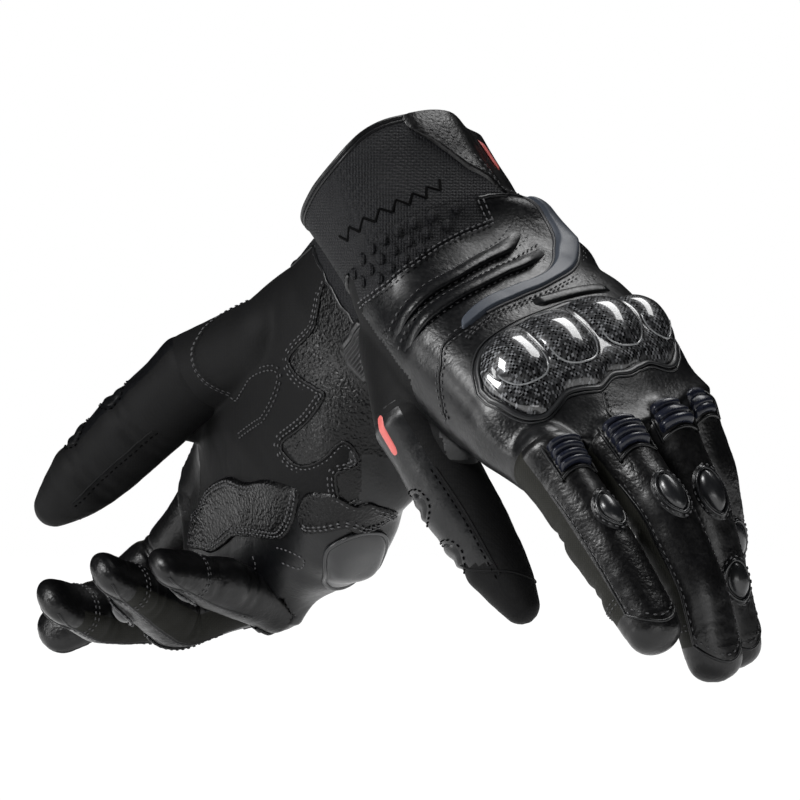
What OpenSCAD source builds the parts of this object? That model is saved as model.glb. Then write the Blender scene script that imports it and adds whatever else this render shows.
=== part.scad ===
// A pair of short riding gloves, left and right, resting against each other.
// Each glove is drawn in its own frame and then placed: x towards the thumb, y towards
// the fingertips, z out of the back of the hand, origin at the middle of the wrist.
// The right glove is the left one mirrored, with its own bend of each finger.

/* [Hand] */
// Length of the cuff, from the wrist line to its rim
cuff_length = 30; // [24:1:60]
// Width of the cuff at its rim
cuff_width = 67; // [60:1:90]
// Depth of the cuff at its rim, back to palm
cuff_depth = 46; // [44:1:70]
// Width at the wrist line
wrist_width = 67; // [60:1:82]
// Depth at the wrist line
wrist_depth = 43; // [40:1:60]
// Distance from the wrist line to the middle of the palm
palm_y = 45; // [38:1:55]
// Width at the middle of the palm
palm_width = 86; // [80:1:98]
// Depth at the middle of the palm
palm_depth = 44; // [38:1:52]
// Distance from the wrist line to the row of knuckles
knuckle_y = 78; // [70:1:84]
// Width at the knuckles
knuckle_width = 87; // [84:1:98]
// Depth at the knuckles
knuckle_depth = 38; // [34:1:46]
// Width at the roots of the fingers
web_width = 89; // [87:1:98]
// Depth at the roots of the fingers
web_depth = 31; // [29:1:38]
// How square the sections of the hand are, 2 is an ellipse
squareness = 2.7; // [2:0.1:4]
// Backward bend of the cuff at the wrist, in degrees
wrist_bend = 20; // [0:1:30]
// Leather and lining together
wall = 1.6; // [1.2:0.1:2.4]
// Room between pieces that move on each other
clearance = 0.6; // [0.4:0.1:1]

/* [Fingers] */
// Root of the index finger: share of the width at the roots, station, height
index_root = [0.354, 106, 2]; // [-3:0.001:130]
// Length of the index finger from its root
index_length = 76; // [60:1:92]
// Radius of the index finger
index_radius = 11.2; // [10:0.1:12]
// Root of the middle finger: share of the width at the roots, station, height
middle_root = [0.107, 111, 3]; // [-3:0.001:130]
// Length of the middle finger from its root
middle_length = 84; // [66:1:100]
// Radius of the middle finger
middle_radius = 11.2; // [10:0.1:12]
// Root of the ring finger: share of the width at the roots, station, height
ring_root = [-0.14, 107, 2]; // [-3:0.001:130]
// Length of the ring finger from its root
ring_length = 79; // [62:1:95]
// Radius of the ring finger
ring_radius = 10.8; // [9.5:0.1:11.5]
// Root of the little finger: share of the width at the roots, station, height
little_root = [-0.365, 96, -2]; // [-3:0.001:130]
// Length of the little finger from its root
little_length = 62; // [48:1:76]
// Radius of the little finger
little_radius = 9.8; // [8.5:0.1:10.5]
// Share of a finger's length at which its first joint lies
first_joint = 0.34; // [0.3:0.01:0.4]
// Share of a finger's length at which its second joint lies
second_joint = 0.645; // [0.58:0.005:0.7]
// Width of a finger against its depth
finger_slimness = 0.94; // [0.88:0.01:0.95]
// Share of its radius that a finger loses towards its tip
finger_taper = 0.16; // [0.05:0.01:0.3]

/* [Thumb] */
// Length of the thumb from the ball
thumb_length = 74; // [60:1:90]
// Radius of the thumb
thumb_radius = 12.8; // [12:0.1:14.5]
// Share of its radius that the thumb loses towards its tip
thumb_taper = 0.22; // [0.05:0.01:0.3]
// Start of the thumb's swell, at the wrist
thenar_base = [22, 19, -9]; // [-40:0.5:60]
// Radius of the swell at the wrist
thenar_radius = 15.5; // [12:0.5:18]

/* [Armour and trim] */
// Length of the knuckle guard along the hand, between its lobes
guard_length = 22; // [16:0.5:28]
// Width of the knuckle guard across the hand
guard_width = 72; // [66:1:80]
// How far the middle of the guard lies behind the row of knuckles
guard_back = 8; // [0:0.5:12]
// How far the corners of the guard are rounded off
guard_round = 6; // [0:0.5:9]
// Distance between the lobes of the guard
guard_pitch = 18.5; // [17:0.5:22]
// How far a lobe stands out of the distal edge
guard_lobe = 7; // [2:0.5:9]
// Height of the guard over the back of the hand
guard_height = 6.5; // [5:0.5:9]
// Thickness of the guard's shell
guard_shell = 1.5; // [1:0.1:2.2]
// Width of the frame round the guard
bezel_width = 2.4; // [1.5:0.1:4]
// Height of the frame round the guard
bezel_height = 1.6; // [1:0.1:2.5]
// Length and width of a finger slider
slider_size = [14, 9.5]; // [6:0.5:18]
// Height of a finger slider
slider_height = 2.6; // [1.5:0.1:4]
// Number of ribs in a stretch fold
fold_ribs = 3; // [2:1:5]
// Length of one rib
fold_pitch = 5; // [4:0.5:6]
// Height of a rib
fold_height = 1.8; // [1:0.1:3]
// Half angle over which the folds go round a finger
fold_angle = 48; // [35:1:60]
// Length and width of the slider at the edge of the palm
palm_slider_size = [36, 20]; // [14:1:42]
// Height of the slider at the edge of the palm
palm_slider_height = 3.4; // [2:0.1:5]
// Thickness of sewn-on leather and mesh panels
overlay = 1.0; // [0.6:0.1:1.6]
// Length of a padded wrist fold along the hand
wrist_fold_length = 9; // [6:0.5:11]
// Height of a padded wrist fold
wrist_fold_height = 3.2; // [2:0.1:5]
// Width of the rubber wrist insert
insert_width = 6.5; // [4:0.5:9]
// Height of the rubber wrist insert
insert_height = 1.8; // [1:0.1:3]
// Width of the wrist strap
strap_width = 19; // [14:0.5:22]
// Thickness of the wrist strap
strap_thick = 2.2; // [1.5:0.1:3]
// Width and thickness of the piping at the rim
piping = 3; // [2:0.2:4]

/* [Rest] */
// Turn of the left glove as it rests
left_turn = [-31, 12, -146]; // [-180:0.5:180]
// Place of the left wrist as it rests
left_place = [15.2, -40.7, 127.1]; // [-200:0.5:200]
// Turn of the right glove as it rests
right_turn = [-78, 45.5, -49.5]; // [-180:0.5:180]
// Place of the right wrist as it rests
right_place = [-13.8, 50.8, 102.8]; // [-200:0.5:200]
// Cupping of the left palm, in degrees
left_palm_curl = 0; // [0:1:40]
// Cupping of the right palm, in degrees
right_palm_curl = 10; // [0:1:40]
// Ball of the left thumb, on which its stall turns
left_thumb_root = [43, 46, -20]; // [-60:0.5:80]
// Ball of the right thumb
right_thumb_root = [37, 44, -21]; // [-60:0.5:80]
// Bends of the left index finger at its three joints
left_index_bend = [18, 2, 2]; // [-5:1:100]
// Bends of the left middle finger
left_middle_bend = [16, 15, 19]; // [-5:1:100]
// Bends of the left ring finger
left_ring_bend = [33, 18, 3]; // [-5:1:100]
// Bends of the left little finger
left_little_bend = [44, 20, 10]; // [-5:1:100]
// Sideways and downward lean of the left thumb
left_thumb_lean = [-10, 25]; // [-30:1:60]
// Bends of the right index finger
right_index_bend = [6, 22, 4]; // [-5:1:100]
// Bends of the right middle finger
right_middle_bend = [50, 44, 20]; // [-5:1:100]
// Bends of the right ring finger
right_ring_bend = [78, 30, 8]; // [-5:1:100]
// Bends of the right little finger
right_little_bend = [94, 18, 5]; // [-5:1:100]
// Sideways and downward lean of the right thumb
right_thumb_lean = [1, 25]; // [-30:1:60]

/* [Hidden] */
SIDES = ["left", "right"];
FINGERS = ["index", "middle", "ring", "little"];
HAND_PARTS = ["back_panel", "palm_panel", "cuff_back", "cuff_palm", "cuff_binding", "knuckle_guard",
    "guard_bezel", "knuckle_foam", "wrist_insert", "wrist_folds", "mesh_panel", "palm_slider",
    "palm_patch", "strap_anchor", "wrist_strap", "strap_pull", "thumb_stall", "thumb_pads"];
FINGER_PARTS = ["stall", "folds", "slider"];
NODES = [for (side = SIDES) each concat(
    [for (part = HAND_PARTS) str(side, "_", part)],
    [for (f = FINGERS, part = FINGER_PARTS) str(side, "_", f, "_", part)])];
node = "all";

leather = "#17181a";
fabric = "#1b1d22";
rubber = "#2a2f38";
carbon = "#0d0e10";
plastic = "#101113";

// Numbers of sides and rows in the meshes
hand_sides = 20;
hand_rows = 6;
cuff_rows = 2;
finger_sides = 8;
finger_full = 1 / sqrt(cos(180 / finger_sides)); // makes up for the flats of a finger's sections
ball_sides = 10;
dome_sides = 10;
overlay_columns = 6;
guard_columns = 12;
guard_rows = [0, 0.15, 0.5, 0.85, 1]; // shares of the guard's length
stick = 2; // how far a seated piece reaches into what carries it before it is cut
web_y = middle_root.y; // station of the finger roots
thumb_swing = [-5, 35]; // turns of the thumb that the palm leaves room for
finger_room = [50, 75, 98, 111]; // bend of each finger that the palm leaves room for
room_steps = 3; // positions between the ends of a travel
bend_y = 30; // station from which the wrist bends back
web_fall = [14, 5, 0]; // from the outer fingers' roots to the corners of the hand
degrees = 180 / PI; // in one radian
mouth = [-1.2, -0.5]; // ends of the cut that opens a stall, in radii from its root
palm_slider_at = [61, 184]; // station and angle of the slider at the edge of the palm
fold_start = 5; // distance of the first rib from a finger's root
slider_past = 2; // how far past a finger's joint its slider sits

// Sections along the hand: station, half width, half depth
stations = [[-cuff_length, cuff_width / 2, cuff_depth / 2],
    [0, wrist_width / 2, wrist_depth / 2],
    [palm_y, palm_width / 2, palm_depth / 2],
    [knuckle_y, knuckle_width / 2, knuckle_depth / 2],
    [web_y, web_width / 2, web_depth / 2]];

function smooth(t) = let (c = max(0, min(1, t))) c * c * (3 - 2 * c);
function power(c, e) = sign(c) * pow(abs(c), e);
function steps(a, b, n) = [for (i = [0:n]) a + (b - a) * i / n];
function unit(v) = v / norm(v);
function section(u, column) = lookup(u, [for (s = stations) [s[0], s[column]]]);

// The roots of the fingers lie on a curve across the hand
function root_at(root) = [root.x * web_width, root.y, root.z];
function root_line(x) = lookup(x, [for (p = [root_at(little_root) - web_fall, root_at(little_root),
    root_at(ring_root), root_at(middle_root), root_at(index_root),
    root_at(index_root) + [web_fall.x, -web_fall.y, 0]]) [p.x, p.y]]);
function wrist_bent(p, u) =
    let (a = -wrist_bend * max(0, min(1, (bend_y - u) / bend_y)), d = p - [0, bend_y, 0])
    [p.x, bend_y + d.y * cos(a) - d.z * sin(a), d.y * sin(a) + d.z * cos(a)];

// What differs between the two gloves
function by_side(left, right) = $side == "left" ? left : right;
function palm_curl() = by_side(left_palm_curl, right_palm_curl);
function thumb_root() = by_side(left_thumb_root, right_thumb_root);
function thumb_lean() = by_side(left_thumb_lean, right_thumb_lean);
function bends(f) = f == "index" ? by_side(left_index_bend, right_index_bend) :
    f == "middle" ? by_side(left_middle_bend, right_middle_bend) :
    f == "ring" ? by_side(left_ring_bend, right_ring_bend) : by_side(left_little_bend, right_little_bend);

// A cupped palm: beyond its middle the hand turns down along an arc
function curl_at(u) = palm_curl() * max(0, (u - palm_y) / (web_y - palm_y));
function cupped(p, u) = u <= palm_y ? p : let (a = curl_at(u), reach = p.y - palm_y)
    [p.x, palm_y + reach * cos(a / 2) + p.z * sin(a), p.z * cos(a) - reach * sin(a / 2)];

// A point on the hand: station u, angle v round the section from the thumb side over the back, height h
function skin(u, v, h = 0) =
    let (x = (section(u, 1) + h) * power(cos(v), 2 / squareness),
        z = (section(u, 2) + h) * power(sin(v), 2 / squareness),
        y = u + (root_line(x) - web_y) * smooth((u - palm_y) / (web_y - palm_y)))
    u < bend_y ? wrist_bent([x, y, z], u) : cupped([x, y, z], u);
function angle_at(x, u) = acos(max(-1, min(1, power(x / section(u, 1), squareness / 2))));
function on_back(x, u, h) = skin(u, angle_at(x, u), h);
function on_palm(x, u, h) = skin(u, -angle_at(x, u), h);

// Fingers: root, yaw, length, radius
function finger(f) =
    f == "index" ? [cupped(root_at(index_root), index_root.y), 1, index_length, index_radius] :
    f == "middle" ? [cupped(root_at(middle_root), middle_root.y), 0, middle_length, middle_radius] :
    f == "ring" ? [cupped(root_at(ring_root), ring_root.y), -3, ring_length, ring_radius] :
    [cupped(root_at(little_root), little_root.y), -7, little_length, little_radius];
function joint_angle(length, bend, s) = palm_curl() + bend[0]
    + bend[1] * smooth((s - first_joint * length) / 12 + 0.5)
    + bend[2] * smooth((s - second_joint * length) / 12 + 0.5);
function forward(yaw, a) = [sin(yaw) * cos(a), cos(yaw) * cos(a), -sin(a)];
function upward(yaw, a) = [sin(yaw) * sin(a), cos(yaw) * sin(a), cos(a)];
// Point on the centre line of a finger at distance s from its root
function along(root, yaw, length, bend, s) = s <= 0 ? root + forward(yaw, palm_curl() + bend[0]) * s :
    let (pace = min(s, 4))
    along(root, yaw, length, bend, s - pace) + forward(yaw, joint_angle(length, bend, s - pace / 2)) * pace;
// Radius of a stall: a ball behind the root, a taper, and a round tip
function stall_radius(length, radius, taper, s) =
    let (tip = radius * (1 - taper), r = radius * (1 - taper * max(0, s) / length), past = s - (length - tip))
    s < 0 ? radius * sqrt(max(0.02, 1 - pow(s / radius, 2))) :
    past > 0 ? tip * sqrt(max(0.02, 1 - pow(past / tip, 2))) : r;
// A point on a finger: distance s from the root, angle v round it from the side over the back, height h
function finger_skin(f, bend, s, v, h = 0) =
    let (spec = finger(f), a = joint_angle(spec[2], bend, s),
        r = stall_radius(spec[2], spec[3], finger_taper, s))
    along(spec[0], spec[1], spec[2], bend, s)
    + [cos(spec[1]), -sin(spec[1]), 0] * (r * finger_slimness + h) * cos(v)
    + upward(spec[1], a) * (r + h) * sin(v);
function finger_stations(length, radius, taper) =
    let (tip = radius * (1 - taper), first = first_joint * length, second = second_joint * length)
    [-0.75 * radius, -0.4 * radius, 0, first - 5, first + 5, second, length - 0.85 * tip,
        length - 0.45 * tip, length - 0.08 * tip];
// The thumb is straight: its direction from the two angles of its lean
function thumb_way(lean) = [sin(lean[0]) * cos(lean[1]), cos(lean[0]) * cos(lean[1]), -sin(lean[1])];
function thumb_side(lean) = unit(cross(thumb_way(lean), [0, 0, 1]));
function thumb_skin(lean, s, v, h = 0) =
    let (r = stall_radius(thumb_length, thumb_radius, thumb_taper, s) + h, side = thumb_side(lean))
    thumb_root() + thumb_way(lean) * s + side * r * cos(v) + cross(side, thumb_way(lean)) * r * sin(v);

// Solid through a list of rings of points, closed at both ends
module loft(rings) {
    n = len(rings[0]);
    last = len(rings) - 1;
    walls = [for (i = [0:last - 1], j = [0:n - 1]) let (k = (j + 1) % n)
        each [[i * n + j, i * n + k, (i + 1) * n + k], [i * n + j, (i + 1) * n + k, (i + 1) * n + j]]];
    ends = [[for (j = [n - 1:-1:0]) j], [for (j = [0:n - 1]) last * n + j]];
    polyhedron([for (ring = rings) each ring], concat(walls, ends), convexity = 8);
}

// Solid ring through loops of points, the last one joined to the first
module band(loops) {
    n = len(loops[0]);
    m = len(loops);
    polyhedron([for (loop = loops) each loop], [for (i = [0:m - 1], j = [0:n - 1])
        let (k = (j + 1) % n, up = (i + 1) % m)
        each [[i * n + j, i * n + k, up * n + j], [i * n + k, up * n + k, up * n + j]]], convexity = 8);
}

// Solid between two sheets of points, rows by columns
module slab(low, high) {
    rows = len(low);
    cols = len(low[0]);
    top = rows * cols;
    under = [for (i = [0:rows - 2], j = [0:cols - 2]) let (a = i * cols + j)
        each [[a, a + 1, a + cols + 1], [a, a + cols + 1, a + cols]]];
    over = [for (t = under) [t[0] + top, t[2] + top, t[1] + top]];
    rim = concat([for (j = [0:cols - 1]) j], [for (i = [1:rows - 1]) i * cols + cols - 1],
        [for (j = [cols - 2:-1:0]) (rows - 1) * cols + j], [for (i = [rows - 2:-1:1]) i * cols]);
    sides = [for (k = [0:len(rim) - 1]) let (a = rim[k], b = rim[(k + 1) % len(rim)])
        each [[b, a, a + top], [b, a + top, b + top]]];
    polyhedron([for (sheet = [low, high]) each [for (row = sheet) each row]],
        concat(under, over, sides), convexity = 8);
}

// Keeps a sewn piece as one mesh
module sewn() resize([0, 0, 0]) children();

// Puts a glove's piece where the glove rests
module worn(side) {
    turn = side == "left" ? left_turn : right_turn;
    place = side == "left" ? left_place : right_place;
    translate(place) rotate(turn) mirror([side == "left" ? 0 : 1, 0, 0]) children();
}

module piece(side, shade) {
    $side = side;
    color(shade) sewn() worn(side) children();
}

// The hand from one station to another, as a solid grown by h
module hand_solid(from, to, h, rows = hand_rows) loft([for (u = steps(from, to, rows))
    [for (j = [0:hand_sides - 1]) skin(u, 360 * j / hand_sides, h)]]);

// Part of the hand's wall between two stations and two angles
module hand_wall(from, to, start, end, rows) {
    sheet = function (h) [for (u = steps(from, to, rows))
        [for (v = steps(start, end, hand_sides / 2)) skin(u, v, h)]];
    slab(sheet(0), sheet(-wall));
}

function finger_ring(f, bend, s, h) = let (r = stall_radius(finger(f)[2], finger(f)[3], finger_taper, s))
    [for (j = [0:finger_sides - 1])
        finger_skin(f, bend, s, 360 * (j + 0.5) / finger_sides, h + r * (finger_full - 1))];
module finger_solid(f, bend, h) {
    spec = finger(f);
    s = finger_stations(spec[2], spec[3], finger_taper);
    loft([for (i = [0:len(s) - 1]) finger_ring(f, bend, s[i] + (i == 0 || i == len(s) - 1 ? h : 0), h)]);
}

function thumb_ring(lean, s, h) = let (r = stall_radius(thumb_length, thumb_radius, thumb_taper, s))
    [for (j = [0:finger_sides - 1])
        thumb_skin(lean, s, 360 * (j + 0.5) / finger_sides, h + r * (finger_full - 1))];
module thumb_solid(lean, h) {
    s = finger_stations(thumb_length, thumb_radius, thumb_taper);
    loft([for (i = [0:len(s) - 1]) thumb_ring(lean, s[i] + (i == 0 || i == len(s) - 1 ? h : 0), h)]);
}

// A ball whose flats lie outside the round one
module ball(centre, radius)
    translate(centre) sphere(radius / pow(cos(180 / ball_sides), 2), $fn = ball_sides);

// The swell from the wrist to the ball of the thumb
module thenar(h) hull() {
    ball(thenar_base, thenar_radius + h);
    ball(thumb_root(), thumb_radius * finger_full + clearance + wall + h);
}

// Room that the fingers and the thumb need as they bend: each one's first length, swept
module finger_base(f, bend, h) {
    loft([for (s = [0, first_joint * finger(f)[2]]) finger_ring(f, bend, s, h)]);
}
module finger_sweep() {
    for (k = [0:len(FINGERS) - 1]) hull() {
        f = FINGERS[k];
        ball(finger(f)[0], finger(f)[3] * finger_full + clearance);
        for (a = steps(0, finger_room[k], room_steps)) finger_base(f, [a - palm_curl(), 0, 0], clearance);
    }
    hull() {
        ball(thumb_root(), thumb_radius * finger_full + clearance);
        for (a = steps(thumb_swing[0], thumb_swing[1], room_steps))
            thumb_solid(thumb_lean() + [a, 0], clearance);
    }
}

module back_panel(side) piece(side, leather) difference() {
    hand_wall(0, web_y, 0, 180, hand_rows);
    thenar(0);
    finger_sweep();
}

module palm_panel(side) piece(side, leather) difference() {
    union() {
        hand_wall(0, web_y, 180, 360, hand_rows);
        difference() {
            thenar(0);
            hand_solid(-1, web_y + 1, -wall);
            hand_wall(0, web_y, 0, 180, hand_rows);
        }
    }
    thenar(-wall);
    finger_sweep();
}

module cuff_back(side) piece(side, fabric) hand_wall(-cuff_length, 0, 0, 180, cuff_rows);
module cuff_palm(side) piece(side, fabric) hand_wall(-cuff_length, 0, 180, 360, cuff_rows);

module cuff_binding(side) piece(side, leather) difference() {
    loft([for (u = [-cuff_length - piping, -cuff_length]) [for (j = [0:hand_sides - 1])
        skin(u, 360 * j / hand_sides, overlay)]]);
    loft([for (u = [-cuff_length - piping - 1, -cuff_length + 1]) [for (j = [0:hand_sides - 1])
        skin(u, 360 * j / hand_sides, -wall)]]);
}

// Outline of the knuckle guard: four lobes on the distal edge
function lobe(x) = abs(cos(180 * (x - root_at(middle_root).x) / guard_pitch));
function guard_corner(x) = guard_round * pow(2 * abs(x) / guard_width, 4);
function guard_edge(x, end, grow) = knuckle_y - guard_back + end * (guard_length / 2 + grow - guard_corner(x))
    + (end > 0 ? guard_lobe * sqrt(lobe(x)) : 0);
function guard_rise(x, t) = guard_height * pow(max(0, sin(180 * t)), 0.5) * (0.72 + 0.28 * lobe(x));
module guard_form(grow, low, high, rise) {
    x_end = guard_width / 2 + grow;
    sheet = function (h, rise) [for (t = guard_rows) [for (x = steps(-x_end, x_end, guard_columns))
        on_back(x, guard_edge(x, -1, grow) * (1 - t) + guard_edge(x, 1, grow) * t,
            h + (rise > 0 ? max(0, guard_rise(x, t) - h + rise - guard_height) : 0))]];
    slab(sheet(low, 0), sheet(high, rise));
}

// The rim of the guard as a closed loop of points
function guard_point(x, t, grow, h) =
    on_back(x, guard_edge(x, -1, grow) * (1 - t) + guard_edge(x, 1, grow) * t, h);
function guard_loop(grow, h) =
    let (x_end = guard_width / 2 + grow, xs = steps(-x_end, x_end, guard_columns), last = len(guard_rows) - 1)
    concat([for (x = xs) guard_point(x, 0, grow, h)],
        [for (i = [1:last - 1]) guard_point(x_end, guard_rows[i], grow, h)],
        [for (i = [guard_columns:-1:0]) guard_point(xs[i], 1, grow, h)],
        [for (i = [last - 1:-1:1]) guard_point(-x_end, guard_rows[i], grow, h)]);
module guard_body() guard_form(0, -stick, bezel_height, guard_height);
module knuckle_guard(side) piece(side, carbon) difference() {
    guard_body();
    guard_form(-guard_shell, -2 * stick, 0.2, guard_height - guard_shell);
    hand_solid(0, web_y, 0);
}
module knuckle_foam(side) piece(side, fabric) difference() {
    guard_form(-guard_shell, -stick, 0.2, guard_height - guard_shell);
    hand_solid(0, web_y, 0);
}
module guard_bezel(side) piece(side, rubber) difference() {
    band([guard_loop(0, -stick), guard_loop(0, bezel_height), guard_loop(bezel_width, bezel_height),
        guard_loop(bezel_width, -stick)]);
    hand_solid(0, web_y, 0);
}

// A sewn-on piece over part of the back, between edges that are functions of x
module back_overlay(x0, x1, near, distal, rows, rise) {
    sheet = function (top) [for (t = steps(0, 1, rows)) [for (x = steps(x0, x1, overlay_columns))
        on_back(x, near(x) * (1 - t) + distal(x) * t, top ? rise(t) : -stick)]];
    difference() {
        slab(sheet(false), sheet(true));
        hand_solid(0, web_y, 0);
    }
}

mesh_ends = [-8, wrist_width / 2 - 6];
mesh_length = 16;
module mesh_panel(side) piece(side, fabric) back_overlay(mesh_ends[0], mesh_ends[1],
    function (x) stick, function (x) stick + mesh_length, 3, function (t) overlay);

fold_ends = [-palm_width / 2 + 18, palm_width / 2 - 10];
fold_near = palm_y - 20;
fold_distal = fold_near + 2 * wrist_fold_length;
module wrist_folds(side) piece(side, leather) back_overlay(fold_ends[0], fold_ends[1],
    function (x) fold_near, function (x) fold_distal, 8,
    function (t) overlay + wrist_fold_height * pow(abs(sin(360 * t)), 0.6));

// The rubber insert runs across the back and turns down the little finger's side
module wrist_insert(side) piece(side, rubber) {
    distal = fold_distal + 6;
    side_x = fold_ends[0] - 7;
    turn = 6; // size of the corner where it turns
    path = [[4 * turn, distal - 1], [turn, distal + 1], [-2 * turn, distal + 1],
        [side_x + turn, distal - turn / 3],
        [side_x, distal - 2 * turn], [side_x, distal - 4 * turn], [side_x + turn / 2, distal - 6 * turn]];
    ends = len(path) - 1;
    sheet = function (h) [for (i = [0:ends])
        let (way = unit(path[min(i + 1, ends)] - path[max(i - 1, 0)]), out = [-way.y, way.x])
        [for (k = [-0.5, 0, 0.5]) let (p = path[i] + out * k * insert_width) on_back(p.x, p.y, h)]];
    difference() {
        slab(sheet(insert_height), sheet(-stick));
        hand_solid(0, web_y, 0);
        back_overlay(fold_ends[0], fold_ends[1], function (x) fold_near, function (x) fold_distal, 1,
            function (t) wrist_fold_height * 4);
    }
}

// A low dome: rings shrink as they rise
module dome(spot, height)
    loft([for (k = [[1, -stick], [1, height * 0.45], [0.78, height * 0.86], [0.4, height]])
    [for (a = steps(360 - 360 / dome_sides, 0, dome_sides - 1)) spot(k[0] * cos(a), k[0] * sin(a), k[1])]]);

module palm_dome() {
    arc = degrees * palm_slider_size.y / palm_depth;
    dome(function (a, b, h)
        skin(palm_slider_at[0] + a * palm_slider_size.x / 2, palm_slider_at[1] + b * arc, h), palm_slider_height);
}
module palm_slider(side) piece(side, plastic) difference() {
    palm_dome();
    hand_solid(0, web_y, 0);
}

// Grained leather over the middle of the palm
patch_ends = [-palm_width / 4, palm_width / 7];
patch_from = palm_y - 18;
patch_to = knuckle_y - 5;
module palm_patch(side) piece(side, leather) difference() {
    sheet = function (h) [for (u = steps(patch_from, patch_to, 3))
        [for (x = steps(patch_ends[0], patch_ends[1], 4))
        on_palm(x, u, h)]];
    slab(sheet(overlay), sheet(-stick));
    hand_solid(0, web_y, 0);
    thenar(0);
    palm_dome();
}

// The leather end of the strap is sewn over the back of the cuff
anchor_angles = [96, 178];
module strap_anchor(side) piece(side, leather) difference() {
    sheet = function (h) [for (u = steps(-cuff_length, -2 * stick, 3))
        [for (v = steps(anchor_angles[0], anchor_angles[1], 6)) skin(u, v, h)]];
    slab(sheet(overlay), sheet(-stick));
    hand_solid(-cuff_length, 0, 0, cuff_rows);
}

// The strap goes from the little finger's side across the palm side of the cuff
strap_start = 190;
strap_end = 234;
pull_end = 262;
pull_ribs = 5;
strap_mid = -strap_width / 2 - 3;
module strap_sheets(from, to, columns, low, high) {
    sheet = function (h) [for (u = steps(strap_mid - strap_width / 2, strap_mid + strap_width / 2, 2))
        [for (v = steps(from, to, columns)) skin(u, v, h(v))]];
    slab(sheet(high), sheet(low));
}
module wrist_strap(side) piece(side, leather) strap_sheets(strap_start, strap_end, 8,
    function (v) clearance, function (v) clearance + strap_thick);
// Height of the ribs on the pull, at an angle round the wrist
function pull_rib(v) = overlay * abs(sin(pull_ribs * 180 * (v - strap_end) / (pull_end - strap_end)));
module strap_pull(side) piece(side, rubber) strap_sheets(strap_end, pull_end, 2 * pull_ribs,
    function (v) clearance, function (v) clearance + strap_thick + pull_rib(v));

module thumb_stall(side) piece(side, fabric) difference() {
    thumb_solid(thumb_lean(), 0);
    thumb_solid(thumb_lean(), -wall);
    thumb_mouth(thumb_lean());
}
// The open end of the thumb stall
module thumb_mouth(lean)
    loft([thumb_ring(lean, mouth[0] * thumb_radius, stick),
        thumb_ring(lean, mouth[1] * thumb_radius, -2 * wall)]);

thumb_pad = [12, 14]; // length and width
thumb_pad_shares = [0.34, 0.54]; // of the thumb's length
thumb_pad_angle = -30;
module thumb_pads(side) piece(side, leather) difference() {
    lean = thumb_lean();
    half_angle = degrees * thumb_pad.y / 2 / thumb_radius;
    for (share = thumb_pad_shares)
        dome(function (a, b, h) thumb_skin(lean, thumb_length * share + a * thumb_pad.x / 2,
            thumb_pad_angle + b * half_angle, h), slider_height);
    thumb_solid(lean, 0);
}

module finger_stall(side, f) piece(side, leather) difference() {
    bend = bends(f);
    radius = finger(f)[3];
    finger_solid(f, bend, 0);
    finger_solid(f, bend, -wall);
    loft([finger_ring(f, bend, mouth[0] * radius, stick),
        finger_ring(f, bend, mouth[1] * radius, -2 * wall)]);
}

// Stretch folds over the back of a finger, just past the knuckle
module fold_form(f, bend) {
    sheet = function (top) [for (i = [0:2 * fold_ribs]) [for (v = steps(90 - fold_angle, 90 + fold_angle, 4))
        finger_skin(f, bend, fold_start + i * fold_pitch / 2, v,
            !top ? -stick : i % 2 == 0 ? overlay / 2 : fold_height)]];
    slab(sheet(true), sheet(false));
}
module finger_folds(side, f) piece(side, fabric) difference() {
    fold_form(f, bends(f));
    finger_solid(f, bends(f), 0);
}

// Hard sliders: over the first joint, on the little finger over the second one, on the ring finger over both
function slider_joints(f) = f == "ring" ? [first_joint, second_joint] : [f == "little" ? second_joint : first_joint];
module finger_slider(side, f) piece(side, plastic) difference() {
    bend = bends(f);
    spec = finger(f);
    half_angle = degrees * slider_size.y / 2 / spec[3];
    for (share = slider_joints(f))
        dome(function (a, b, h) finger_skin(f, bend, spec[2] * share + slider_past + a * slider_size.x / 2,
            90 + b * half_angle, h), slider_height);
    finger_solid(f, bend, 0);
    fold_form(f, bend);
}

function drawn(side, part) = node == "all" || node == str(side, "_", part);

for (side = SIDES) {
    if (drawn(side, "back_panel")) back_panel(side);
    if (drawn(side, "palm_panel")) palm_panel(side);
    if (drawn(side, "cuff_back")) cuff_back(side);
    if (drawn(side, "cuff_palm")) cuff_palm(side);
    if (drawn(side, "cuff_binding")) cuff_binding(side);
    if (drawn(side, "knuckle_guard")) knuckle_guard(side);
    if (drawn(side, "guard_bezel")) guard_bezel(side);
    if (drawn(side, "knuckle_foam")) knuckle_foam(side);
    if (drawn(side, "wrist_insert")) wrist_insert(side);
    if (drawn(side, "wrist_folds")) wrist_folds(side);
    if (drawn(side, "mesh_panel")) mesh_panel(side);
    if (drawn(side, "palm_slider")) palm_slider(side);
    if (drawn(side, "palm_patch")) palm_patch(side);
    if (drawn(side, "strap_anchor")) strap_anchor(side);
    if (drawn(side, "wrist_strap")) wrist_strap(side);
    if (drawn(side, "strap_pull")) strap_pull(side);
    if (drawn(side, "thumb_stall")) thumb_stall(side);
    if (drawn(side, "thumb_pads")) thumb_pads(side);
    for (f = FINGERS) {
        if (drawn(side, str(f, "_stall"))) finger_stall(side, f);
        if (drawn(side, str(f, "_folds"))) finger_folds(side, f);
        if (drawn(side, str(f, "_slider"))) finger_slider(side, f);
    }
}
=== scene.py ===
"""A pair of short riding gloves: soft hides, padded folds, armour and trim, built round the CAD frame."""
import math

import bmesh
import bpy
from mathutils import Euler, Matrix, Vector, kdtree, noise
from mathutils.bvhtree import BVHTree


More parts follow.
